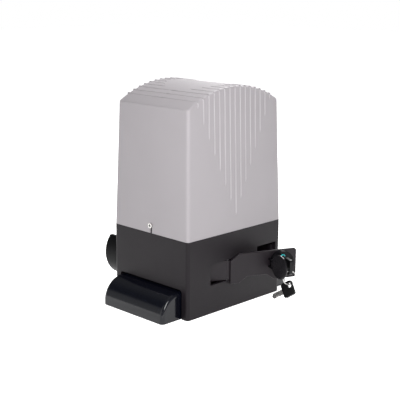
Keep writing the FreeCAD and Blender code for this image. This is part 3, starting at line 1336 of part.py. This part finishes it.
def make_motor_bolts():
    """Through bolts of the end bell, shown by their heads."""
    heads = []
    for step in range(4):
        ray = f"{45 + 90 * step} * 1deg"
        head = doc.addObject("Part::Cylinder", f"motor_bolt_{step + 1}")
        head.setExpression("Radius", "dims.bolt_head_radius")
        head.setExpression("Height", "dims.bolt_head_height")
        head.setExpression("Placement.Base.x", f"dims.worm_x + dims.bolt_circle * cos({ray})")
        head.setExpression("Placement.Base.y", f"dims.wheel_y + dims.bolt_circle * sin({ray})")
        head.setExpression("Placement.Base.z", "dims.motor_top + dims.end_bell_height")
        heads.append(head)
    return group("motor_bolts", heads)


# ---------------------------------------------------------------- build and export

cover = make_cover()
nodes = {
    "cover": cover,
    "cover_screws": make_cover_screws(),
    "vent_plug": make_vent_plug(),
    "base_housing": make_base(),
    "foot_cover_right": foot_cover("foot_cover_right", 0.0),
    "foot_cover_left": foot_cover("foot_cover_left", 180.0),
    "release_lever": make_lever(),
    "lever_pin": make_lever_pin(),
    "lock_body": make_lock_body(),
    "lock_nut": make_lock_nut(),
    "flap_pin": make_flap_pin(),
    "lock_flap": make_flap(),
    "lock_plug": make_plug(),
    "lock_cam": make_lock_cam(),
}
first_bow, first_blade = make_key("key", "bow_start + blade_in_lock")
nodes["key_bow"] = stand_key_in_lock(first_bow)
nodes["key_blade"] = stand_key_in_lock(first_blade)
spare_bow, spare_blade = make_key("spare_key", "blade_length")
nodes["spare_key_bow"] = hang_spare_key(spare_bow)
nodes["spare_key_blade"] = hang_spare_key(spare_blade)
nodes["key_ring"] = make_ring()
nodes["drive_pinion"] = make_pinion()
nodes["pinion_retainer"] = make_pinion_retainer()
nodes["pinion_guard"] = make_pinion_guard()
nodes["guard_screws"] = make_guard_screws()
nodes["output_shaft"] = make_output_shaft()
nodes["worm_wheel"] = make_worm_wheel()
nodes["gearbox_case"] = make_gearbox_case()
nodes["shaft_bearings"] = make_bearings()
nodes["oil_seal"] = make_oil_seal()
nodes["worm_shaft"] = make_worm_shaft()
nodes["rotor_core"] = tube("rotor_core", "motor_bottom + rotor_inset", "rotor_radius",
                           "rotor_shaft_radius", "motor_height - rotor_inset - rotor_inset")
nodes["motor_stator"] = make_stator()
nodes["motor_end_bell"] = tube("motor_end_bell", "motor_top", "motor_radius",
                               "rotor_shaft_radius + running_gap", "end_bell_height")
nodes["motor_bolts"] = make_motor_bolts()
nodes["capacitor"] = make_capacitor()
nodes["capacitor_holder"] = make_capacitor_clip()
nodes["transformer"] = make_transformer()
nodes["control_board"] = make_control_board()
nodes["board_tray"] = make_board_tray()
nodes["terminal_blocks"] = make_terminals()
nodes["board_relays"] = make_relays()
nodes["limit_sensor"] = make_limit_sensor()
nodes["cable_gland"] = make_cable_gland()

doc.recompute()
for item in doc.Objects:
    if "Invalid" in item.State or "Error" in item.State:
        raise RuntimeError("not built: " + item.Label)
for name, item in nodes.items():
    item.Label = name
    shape = item.Shape
    if shape.isNull() or not shape.isValid():
        raise RuntimeError("bad solid: " + name)
    shape.exportStep("parts/" + name + ".step")
    bounds = shape.BoundBox
    print(name, len(shape.Solids), round(shape.Volume), [round(value, 1) for value in (
        bounds.XMin, bounds.YMin, bounds.ZMin, bounds.XMax, bounds.YMax, bounds.ZMax)])
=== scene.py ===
import math
import bpy
from mathutils import Matrix, Vector
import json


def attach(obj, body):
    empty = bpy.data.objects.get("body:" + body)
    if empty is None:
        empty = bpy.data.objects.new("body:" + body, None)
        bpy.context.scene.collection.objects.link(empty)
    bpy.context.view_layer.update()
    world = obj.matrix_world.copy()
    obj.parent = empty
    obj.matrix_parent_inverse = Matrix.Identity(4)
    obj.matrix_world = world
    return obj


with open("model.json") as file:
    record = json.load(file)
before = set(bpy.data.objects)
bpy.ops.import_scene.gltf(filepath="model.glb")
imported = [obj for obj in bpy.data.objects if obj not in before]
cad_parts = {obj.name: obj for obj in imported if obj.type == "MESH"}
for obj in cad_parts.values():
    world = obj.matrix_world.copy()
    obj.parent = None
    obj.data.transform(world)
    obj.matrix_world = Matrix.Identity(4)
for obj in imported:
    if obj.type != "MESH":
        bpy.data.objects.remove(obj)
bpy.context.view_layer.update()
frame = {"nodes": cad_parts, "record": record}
nodes = frame["nodes"]


# ---------------------------------------------------------------- material helpers

COAT_ROUGHNESS = 0.08
NOISE_LOW = 0.3             # nearly all of a noise lies between these two
NOISE_HIGH = 0.7


class Finish:
    """A procedural material on one Principled shader, built up in steps."""

    def __init__(self, name, colour, roughness, metallic=0.0, coat=0.0, specular=0.5):
        self.material = bpy.data.materials.new(name)
        self.material.use_nodes = True
        self.tree = self.material.node_tree
        self.shader = self.tree.nodes["Principled BSDF"]
        self.colour = colour
        self.roughness = roughness
        self.shader.inputs["Base Color"].default_value = (*colour, 1.0)
        self.shader.inputs["Roughness"].default_value = roughness
        self.shader.inputs["Metallic"].default_value = metallic
        self.shader.inputs["Specular IOR Level"].default_value = specular
        self.shader.inputs["Coat Weight"].default_value = coat
        self.shader.inputs["Coat Roughness"].default_value = COAT_ROUGHNESS
        self.place = self.tree.nodes.new("ShaderNodeTexCoord").outputs["Object"]
        self.normal = None

    def link(self, source, target):
        self.tree.links.new(source, target)

    def stretched(self, scale):
        """The object's own coordinates, stretched by three numbers."""
        mapping = self.tree.nodes.new("ShaderNodeMapping")
        mapping.inputs["Scale"].default_value = scale
        self.link(self.place, mapping.inputs["Vector"])
        return mapping.outputs["Vector"]

    def noise(self, scale, detail=3.0, stretch=(1, 1, 1)):
        """Noise whose grains are about 1 / scale metres."""
        node = self.tree.nodes.new("ShaderNodeTexNoise")
        node.inputs["Scale"].default_value = scale
        node.inputs["Detail"].default_value = detail
        self.link(self.stretched(stretch), node.inputs["Vector"])
        return node.outputs["Fac"]

    def spread(self, source, low, high):
        """The noise source spread from low to high."""
        node = self.tree.nodes.new("ShaderNodeMapRange")
        node.inputs["From Min"].default_value = NOISE_LOW
        node.inputs["From Max"].default_value = NOISE_HIGH
        node.inputs["To Min"].default_value = low
        node.inputs["To Max"].default_value = high
        self.link(source, node.inputs["Value"])
        return node.outputs["Result"]

    def tone(self, source, amount):
        """Colour that varies by amount either way with the source."""
        node = self.tree.nodes.new("ShaderNodeMix")
        node.data_type = "RGBA"
        darker = [channel * (1 - amount) for channel in self.colour]
        lighter = [min(1, channel * (1 + amount)) for channel in self.colour]
        node.inputs["A"].default_value = (*darker, 1.0)
        node.inputs["B"].default_value = (*lighter, 1.0)
        self.link(source, node.inputs["Factor"])
        self.link(node.outputs["Result"], self.shader.inputs["Base Color"])

    def combine(self, operation, first, second):
        """One number from two."""
        node = self.tree.nodes.new("ShaderNodeMath")
        node.operation = operation
        for source, socket in ((first, node.inputs[0]), (second, node.inputs[1])):
            if isinstance(source, float):
                socket.default_value = source
            else:
                self.link(source, socket)
        return node.outputs[0]

    def near(self, source, middle, reach):
        """1 where the source lies within reach of middle, else 0."""
        away = self.combine("ABSOLUTE", self.combine("SUBTRACT", source, middle), 0.0)
        return self.combine("LESS_THAN", away, reach)

    def polish(self, source, below, above):
        """Roughness that varies with the source from below its own value to above it."""
        varied = self.spread(source, self.roughness - below, self.roughness + above)
        self.link(varied, self.shader.inputs["Roughness"])

    def bump(self, source, depth):
        """Relief of the given depth in metres; a depth below 0 sinks in."""
        node = self.tree.nodes.new("ShaderNodeBump")
        node.inputs["Distance"].default_value = depth
        self.link(source, node.inputs["Height"])
        if self.normal:
            self.link(self.normal, node.inputs["Normal"])
        self.normal = node.outputs["Normal"]
        self.link(self.normal, self.shader.inputs["Normal"])


def moulded(name, colour, roughness, coat=0.0, specular=0.5, grain=0.00004):
    """Injection moulded plastic with a fine eroded grain and slow flow variation."""
    finish = Finish(name, colour, roughness, coat=coat, specular=specular)
    finish.tone(finish.noise(scale=14, detail=4.0), amount=0.05)
    finish.polish(finish.noise(scale=60, detail=5.0), below=0.02, above=0.02)
    finish.bump(finish.noise(scale=2600, detail=2.0), depth=grain)
    return finish.material


MARK_STRETCH = 0.03         # scale of the noise in the direction of turned marks


def turned(name, colour, roughness, across):
    """Turned or ground metal, whose fine marks run across the axes named in across."""
    finish = Finish(name, colour, roughness, metallic=1.0)
    stretch = tuple(1.0 if letter in across else MARK_STRETCH for letter in "XYZ")
    marks = finish.noise(scale=900, detail=4.0, stretch=stretch)
    finish.tone(finish.noise(scale=80, detail=4.0), amount=0.08)
    finish.polish(marks, below=0.07, above=0.12)
    finish.bump(marks, depth=0.00003)
    return finish.material


SCREW_AXIS = {"Y": -0.002, "Z": 0.1196}     # place of the two heads, in metres
RECESS_HALF_WIDTH = 0.0006
RECESS_REACH = 0.0022
RECESS_DEPTH = 0.0006
# colour of the painted shade inside the cross recess
RECESS_PAINTED_SHADE = (0.02, 0.02, 0.022)


def screw_finish(name, colour, roughness):
    """Plated screw heads with a cross recess about their axes, which lie along X; the recess is
    bumped in and painted dark as the shade inside it.
    """
    finish = Finish(name, colour, roughness, metallic=1.0)
    tree = finish.tree
    split = tree.nodes.new("ShaderNodeSeparateXYZ")
    finish.link(finish.place, split.inputs[0])
    arms = []
    for axis, other in (("Y", "Z"), ("Z", "Y")):
        near = finish.near(split.outputs[axis], SCREW_AXIS[axis], RECESS_HALF_WIDTH)
        inside = finish.near(split.outputs[other], SCREW_AXIS[other], RECESS_REACH)
        arms.append(finish.combine("MULTIPLY", near, inside))
    recess = finish.combine("MAXIMUM", *arms)
    finish.tone(finish.noise(scale=400, detail=3.0), amount=0.06)
    # painted shade: the recess is coloured dark where its shade would fall
    dark = tree.nodes.new("ShaderNodeMix")
    dark.data_type = "RGBA"
    finish.link(finish.shader.inputs["Base Color"].links[0].from_socket, dark.inputs["A"])
    dark.inputs["B"].default_value = (*RECESS_PAINTED_SHADE, 1.0)
    finish.link(recess, dark.inputs["Factor"])
    finish.link(dark.outputs["Result"], finish.shader.inputs["Base Color"])
    finish.bump(recess, depth=-RECESS_DEPTH)
    return finish.material


def cast(name, colour, roughness, metallic):
    """Cast or painted metal with an orange-peel skin."""
    finish = Finish(name, colour, roughness, metallic=metallic)
    finish.tone(finish.noise(scale=120, detail=6.0), amount=0.10)
    finish.polish(finish.noise(scale=300, detail=4.0), below=0.08, above=0.1)
    finish.bump(finish.noise(scale=900, detail=3.0), depth=0.00012)
    return finish.material


# ---------------------------------------------------------------- materials

cover_grey = moulded("cover_grey", (0.392, 0.368, 0.386), 0.44, specular=0.4)
base_black = moulded("base_black", (0.0112, 0.0086, 0.0112), 0.42, specular=0.18)
foot_black = moulded("foot_black", (0.003, 0.0037, 0.0075), 0.13, specular=0.4, grain=0.000003)
lever_black = moulded("lever_black", (0.0120, 0.0085, 0.0115), 0.38, specular=0.26)
lock_black = moulded("lock_black", (0.004, 0.004, 0.005), 0.2, specular=0.12, grain=0.000006)
key_black = moulded("key_black", (0.006, 0.006, 0.007), 0.3, specular=0.2)
steel = turned("steel", (0.34, 0.34, 0.355), 0.38, across="Y")
nickel = turned("nickel", (0.52, 0.51, 0.50), 0.28, across="XY")
bronze = turned("bronze", (0.42, 0.26, 0.11), 0.38, across="Y")
cast_alloy = cast("cast_alloy", (0.36, 0.36, 0.375), 0.5, metallic=1.0)
motor_steel = cast("motor_steel", (0.06, 0.065, 0.075), 0.4, metallic=0.0)
board_green = moulded("board_green", (0.01, 0.10, 0.035), 0.3, coat=0.5)
white_plastic = moulded("white_plastic", (0.72, 0.72, 0.69), 0.35)
relay_blue = moulded("relay_blue", (0.02, 0.06, 0.22), 0.25, coat=0.3)
# painted highlight: a paler, glossier copy of the cover grey for the sideways facets of the ribs
rib_painted_highlight = moulded("rib_painted_highlight", (0.50, 0.475, 0.495), 0.3)
# painted shade: a darker, duller copy of the base black for the pinion guard
guard_painted_shade = moulded("guard_painted_shade", (0.0035, 0.0035, 0.004), 0.4, specular=0.08)
flap_black = moulded("flap_black", (0.013, 0.012, 0.014), 0.22, specular=0.4, grain=0.000008)
screw_nickel = screw_finish("screw_nickel", (0.66, 0.65, 0.63), 0.25)
teal = moulded("teal_plastic", (0.02, 0.42, 0.44), 0.25)
seal_rubber = moulded("seal_rubber", (0.012, 0.012, 0.012), 0.6, grain=0.0001)

MATERIALS = {
    "cover_grey": cover_grey, "base_black": base_black, "foot_black": foot_black,
    "lever_black": lever_black, "lock_black": lock_black, "key_black": key_black,
    "steel": steel, "nickel": nickel, "bronze": bronze, "cast_alloy": cast_alloy,
    "motor_steel": motor_steel, "board_green": board_green, "white_plastic": white_plastic,
    "relay_blue": relay_blue, "seal_rubber": seal_rubber,
}

# pieces whose finish is not the usual one of their slot; the pinion guard's is painted shade, a
# darker and duller copy of the base black
OWN_FINISH = {"pinion_guard": guard_painted_shade, "lock_flap": flap_black, "cover_screws": screw_nickel}

for part in frame["record"]["subparts"]:
    mesh = nodes[part["node"]].data
    mesh.materials.clear()
    mesh.materials.append(OWN_FINISH.get(part["node"], MATERIALS[part["material_slot"]]))


# ---------------------------------------------------------------- mesh helpers

MM = 0.001                  # metres in a millimetre
BAR_FACETS = 12
END_SHARE = 0.55            # radius at the ends of a bar, as a share of the rest
NO_LENGTH = 0.001           # a shorter side means that the bar runs straight up


def make_piece(name, points, faces, material):
    """Smooth mesh object from points in millimetres."""
    mesh = bpy.data.meshes.new(name)
    mesh.from_pydata([Vector(point) * MM for point in points], [], faces)
    mesh.materials.append(material)
    for polygon in mesh.polygons:
        polygon.use_smooth = True
    piece = bpy.data.objects.new(name, mesh)
    bpy.context.scene.collection.objects.link(piece)
    return piece


def make_tube(name, path, radius, material):
    """Round bar along a path of points, narrower at its two ends."""
    points, faces = [], []
    count = len(path)
    for index, centre in enumerate(path):
        ahead = path[min(index + 1, count - 1)] - path[max(index - 1, 0)]
        side = ahead.cross(Vector((0, 0, 1)))
        if side.length < NO_LENGTH:
            side = ahead.cross(Vector((1, 0, 0)))
        side.normalize()
        over = side.cross(ahead).normalized()
        share = radius * (END_SHARE if index in (0, count - 1) else 1.0)
        for step in range(BAR_FACETS):
            turn = 2 * math.pi * step / BAR_FACETS
            points.append(centre + side * share * math.cos(turn) + over * share * math.sin(turn))
    for index in range(count - 1):
        here, there = index * BAR_FACETS, (index + 1) * BAR_FACETS
        for step in range(BAR_FACETS):
            after = (step + 1) % BAR_FACETS
            faces.append((here + step, here + after, there + after, there + step))
    faces.append(tuple(range(BAR_FACETS))[::-1])
    faces.append(tuple(range((count - 1) * BAR_FACETS, count * BAR_FACETS)))
    return make_piece(name, points, faces, material)


# ---------------------------------------------------------------- ribs of the cover

# lengths in millimetres
CROWN = 308.0               # height of the top of the arched roof
ARCH = 169.0                # radius of the arched roof
SEAM = 109.0                # height of the seam under the cover
HALF_DEPTH = 73.8           # from the middle to the front wall at the seam
DRAFT = math.radians(1.75)  # lean of the walls
ROOF_ROUND = 3.0            # rounding between walls and roof
ROUND_ANGLES = (22.5, 45.0, 67.5, 90.0)     # stations round it, in degrees
QUARTER_TURN = 90.0
SMOOTH_RADIUS = 48.0        # round place in the middle of the roof that has no ribs

RIBS_EACH_SIDE = 7
RIB_PITCH = 10.1
RIB_POINT = 131.0           # height of the lowest rib point
RIB_SLOPE = 2.15            # rise of the rib points for each millimetre outwards
RIB_NOSE = 5.0              # length of the pointed end
NOSE_SHARES = (0.0, 0.3, 0.6, 1.0)          # stations along the pointed end
NOSE_TIP = 0.08             # size at its tip, as a share of the full rib
RIB_STEPS = 6               # stations up the wall, and again over the roof
RIB_FACETS = 10
RIB_SINK = 0.05             # depth of a rib's foot in the cover
WALL_RIB = (0.88, 0.85)     # half width and height
ROOF_RIB = (1.3, 0.56)
# facets that face sideways get the painted highlight
SIDEWAYS = 0.3              # a facet whose normal rises less than this faces sideways


def roof_height(x):
    """Height of the arched roof over the place x."""
    return CROWN - ARCH + math.sqrt(ARCH * ARCH - x * x)


def wall_reach(z):
    """Distance of the leaning front wall from the middle at the height z."""
    return HALF_DEPTH - (z - SEAM) * math.tan(DRAFT)


def rib_path(x):
    """Stations (y, z, out_y, out_z, half width, height) up the front wall and over the roof."""
    low = RIB_POINT + RIB_SLOPE * abs(x)
    top = roof_height(x)
    wall_top = top - ROOF_ROUND
    stations = []
    for share in NOSE_SHARES:
        z = low + share * RIB_NOSE
        grow = NOSE_TIP + (1 - NOSE_TIP) * math.sqrt(share)
        stations.append((-wall_reach(z), z, -1.0, 0.0, WALL_RIB[0] * grow, WALL_RIB[1] * grow))
    for step in range(1, RIB_STEPS + 1):
        z = low + RIB_NOSE + (wall_top - low - RIB_NOSE) * step / RIB_STEPS
        stations.append((-wall_reach(z), z, -1.0, 0.0, *WALL_RIB))
    centre_y = -wall_reach(wall_top) + ROOF_ROUND
    for angle in ROUND_ANGLES:
        turn = math.radians(angle)
        fade = angle / QUARTER_TURN
        width, height = [wall + (roof - wall) * fade for wall, roof in zip(WALL_RIB, ROOF_RIB)]
        y = centre_y - ROOF_ROUND * math.cos(turn)
        z = wall_top + ROOF_ROUND * math.sin(turn)
        stations.append((y, z, -math.cos(turn), math.sin(turn), width, height))
    end_y = 0.0
    if abs(x) < SMOOTH_RADIUS:
        end_y = -math.sqrt(SMOOTH_RADIUS ** 2 - x * x)
    start_y = stations[-1][0]
    for step in range(1, RIB_STEPS + 1):
        y = start_y + (end_y - start_y) * step / RIB_STEPS
        stations.append((y, top, 0.0, 1.0, *ROOF_RIB))
    return stations


def add_rib(x, side, points, faces):
    """Half-round rib at x; side is 1 for the front half and -1 for the back half."""
    lean = math.atan2(x, roof_height(x) - CROWN + ARCH)
    rows = []
    for y, z, out_y, out_z, width, height in rib_path(x):
        row = []
        for step in range(RIB_FACETS + 1):
            turn = math.pi * step / RIB_FACETS
            across = -width * math.cos(turn)
            out = height * math.sin(turn) - RIB_SINK
            tilt = lean * out_z
            point_x = x + across * math.cos(tilt) + out * math.sin(tilt)
            point_z = z + out * out_z * math.cos(tilt) - across * math.sin(tilt)
            row.append(len(points))
            points.append((point_x, side * (y + out * out_y), point_z))
        rows.append(row)
    for below, above in zip(rows, rows[1:]):
        for step in range(RIB_FACETS):
            face = (below[step], below[step + 1], above[step + 1], above[step])
            faces.append(face if side == 1 else face[::-1])
    for row, turned_round in ((rows[0], True), (rows[-1], False)):
        faces.append(tuple(row[::-1] if turned_round == (side == 1) else row))


def paint_rib_highlight(mesh):
    """Painted highlight: paler, glossier grey on the facets that face sideways, such as those on
    the walls, where the ribs catch the light.
    """
    mesh.materials.append(rib_painted_highlight)
    for polygon in mesh.polygons:
        polygon.material_index = 1 if abs(polygon.normal.z) < SIDEWAYS else 0


def make_ribs():
    """Fan of ribs on the front wall, the back wall and the roof of the cover."""
    points, faces = [], []
    for step in range(-RIBS_EACH_SIDE, RIBS_EACH_SIDE + 1):
        for side in (1, -1):
            add_rib(step * RIB_PITCH, side, points, faces)
    piece = make_piece("cover_ribs", points, faces, cover_grey)
    # the sideways facets of the ribs get a painted highlight
    paint_rib_highlight(piece.data)
    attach(piece, "base")


make_ribs()


# ---------------------------------------------------------------- lock marker

# lengths in millimetres, angles of the marker's ends in degrees
HINGE = Vector((-15.3, -71.3, 0.0))
LEVER_ANGLE = math.radians(24)      # how far the lever stands open
MARKER_ALONG = 78.6                 # middle of the marker's arch
MARKER_ACROSS = 14.4
MARKER_HEIGHT = 70.2
MARKER_BEND = 2.7                   # radius of the arch
MARKER_BAR = 0.95                   # radius of the bar that it is bent from
MARKER_START = -15
MARKER_SWEEP = 210
MARKER_STEPS = 16
PEG_ALONG = 79
PEG_ACROSS = (13.8, 14.9, 15.2)     # back, shoulder and front of the peg
PEG_HEIGHT = 67.4
PEG_RADIUS = 1.1


def on_lever(along, across, height):
    """Place in the shared frame of a point along, in front of and up from the lever's hinge."""
    turned_x = along * math.cos(LEVER_ANGLE) - across * math.sin(LEVER_ANGLE)
    turned_y = -along * math.sin(LEVER_ANGLE) - across * math.cos(LEVER_ANGLE)
    return HINGE + Vector((turned_x, turned_y, height))


def make_lock_marker():
    """Small teal arch in the top of the lock face, over a pale peg."""
    arch = []
    for step in range(MARKER_STEPS + 1):
        turn = math.radians(MARKER_START + MARKER_SWEEP * step / MARKER_STEPS)
        along = MARKER_ALONG + MARKER_BEND * math.cos(turn)
        height = MARKER_HEIGHT + MARKER_BEND * math.sin(turn)
        arch.append(on_lever(along, MARKER_ACROSS, height))
    piece = make_tube("lock_marker", arch, MARKER_BAR, teal)
    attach(piece, "lever")
    centres = [on_lever(PEG_ALONG, across, PEG_HEIGHT) for across in PEG_ACROSS]
    peg = make_tube("lock_peg", centres, PEG_RADIUS, white_plastic)
    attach(peg, "lever")


make_lock_marker()


# ---------------------------------------------------------------- stage

FLOOR_REACH = 6.0
FLOOR_COLOUR = (0.8, 0.8, 0.8, 1)
FLOOR_ROUGHNESS = 0.6
FLOOR_LIFT = 0.9            # glow of the floor that only the camera and gloss see
WHITE = (1, 1, 1, 1)
# upward part of the direction, and how bright the surroundings are there
SKY_LEVELS = [(0.01, 0.60), (0.32, 0.50), (0.42, 0.08), (0.60, 0.10), (0.99, 0.45)]
# name, place, target, width, height and power of each softbox, in metres and watts
LAMPS = [
    ("key", (-0.48, -0.55, 0.50), (-0.05, -0.05, 0.18), 0.30, 0.5, 4.8),
    ("fill_left", (-1.5, 0.5, 0.6), (0, 0, 0.15), 0.8, 1.2, 2.6),
    ("fill_right", (0.3, -1.7, 0.6), (0, 0, 0.15), 0.8, 1.2, 0.8),
    ("top", (0.90, 0.30, 1.15), (0, 0, 0.25), 0.9, 0.9, 25),
]
SENSOR_WIDTH = 36.0                     # millimetres, as is the lens
LENS = 85.58
CAMERA_PLACE = (-0.9371, -0.9297, 0.4494)
CAMERA_TURN = math.radians(44.678)      # from +X towards +Y
CAMERA_DIP = math.radians(13.206)       # below level
CAMERA_ROLL = math.radians(-0.3325)     # above 0 the right side tips down


def make_floor():
    """Pale floor that reads as white to the camera and keeps the shadow."""
    mesh = bpy.data.meshes.new("floor")
    reach = FLOOR_REACH
    corners = [(-reach, -reach, 0), (reach, -reach, 0), (reach, reach, 0), (-reach, reach, 0)]
    mesh.from_pydata(corners, [], [(0, 1, 2, 3)])
    floor = bpy.data.objects.new("floor", mesh)
    bpy.context.scene.collection.objects.link(floor)
    material = bpy.data.materials.new("floor_white")
    material.use_nodes = True
    tree = material.node_tree
    shader = tree.nodes["Principled BSDF"]
    shader.inputs["Base Color"].default_value = FLOOR_COLOUR
    shader.inputs["Roughness"].default_value = FLOOR_ROUGHNESS
    path = tree.nodes.new("ShaderNodeLightPath")
    either = tree.nodes.new("ShaderNodeMath")
    either.operation = "MAXIMUM"
    tree.links.new(path.outputs["Is Camera Ray"], either.inputs[0])
    tree.links.new(path.outputs["Is Glossy Ray"], either.inputs[1])
    lift = tree.nodes.new("ShaderNodeMath")
    lift.operation = "MULTIPLY"
    lift.inputs[1].default_value = FLOOR_LIFT
    tree.links.new(either.outputs[0], lift.inputs[0])
    shader.inputs["Emission Color"].default_value = WHITE
    tree.links.new(lift.outputs[0], shader.inputs["Emission Strength"])
    mesh.materials.append(material)


def make_world():
    """Soft surroundings: a pale low sweep, dim above it, lighter overhead; white to the camera."""
    world = bpy.data.worlds.new("studio")
    world.use_nodes = True
    tree = world.node_tree
    back = tree.nodes["Background"]
    back.inputs["Color"].default_value = WHITE
    split = tree.nodes.new("ShaderNodeSeparateXYZ")
    tree.links.new(tree.nodes.new("ShaderNodeTexCoord").outputs["Generated"], split.inputs[0])
    ramp = tree.nodes.new("ShaderNodeValToRGB")
    stops = ramp.color_ramp.elements
    for rise, brightness in SKY_LEVELS:
        stop = stops.new(rise)
        stop.color = (brightness, brightness, brightness, 1)
    stops.remove(stops[0])
    stops.remove(stops[-1])
    tree.links.new(split.outputs["Z"], ramp.inputs["Fac"])
    path = tree.nodes.new("ShaderNodeLightPath")
    strength = tree.nodes.new("ShaderNodeMapRange")
    strength.inputs["To Max"].default_value = 1.0
    tree.links.new(ramp.outputs["Color"], strength.inputs["To Min"])
    tree.links.new(path.outputs["Is Camera Ray"], strength.inputs["Value"])
    tree.links.new(strength.outputs["Result"], back.inputs["Strength"])
    bpy.context.scene.world = world


def make_lamp(name, place, target, width, height, power):
    """Softbox at place that faces target."""
    data = bpy.data.lights.new(name, "AREA")
    data.shape = "RECTANGLE"
    data.size = width
    data.size_y = height
    data.energy = power
    lamp = bpy.data.objects.new(name, data)
    lamp.location = place
    lamp.rotation_euler = (Vector(target) - Vector(place)).to_track_quat("-Z", "Y").to_euler()
    bpy.context.scene.collection.objects.link(lamp)


def make_camera():
    """Camera a little higher than the object, turned to its near left corner."""
    data = bpy.data.cameras.new("camera")
    data.sensor_width = SENSOR_WIDTH
    data.lens = LENS
    camera = bpy.data.objects.new("camera", data)
    turn, dip, roll = CAMERA_TURN, CAMERA_DIP, CAMERA_ROLL
    level = math.cos(dip)
    forward = Vector((level * math.cos(turn), level * math.sin(turn), -math.sin(dip)))
    level_right = forward.cross(Vector((0, 0, 1))).normalized()
    level_down = forward.cross(level_right)
    right = math.cos(roll) * level_right + math.sin(roll) * level_down
    down = -math.sin(roll) * level_right + math.cos(roll) * level_down
    axes = Matrix((right, -down, -forward)).transposed()
    camera.matrix_world = Matrix.Translation(CAMERA_PLACE) @ axes.to_4x4()
    bpy.context.scene.collection.objects.link(camera)
    bpy.context.scene.camera = camera


make_floor()
make_world()
for lamp in LAMPS:
    make_lamp(*lamp)
make_camera()

bpy.context.scene.view_settings.view_transform = "Standard"
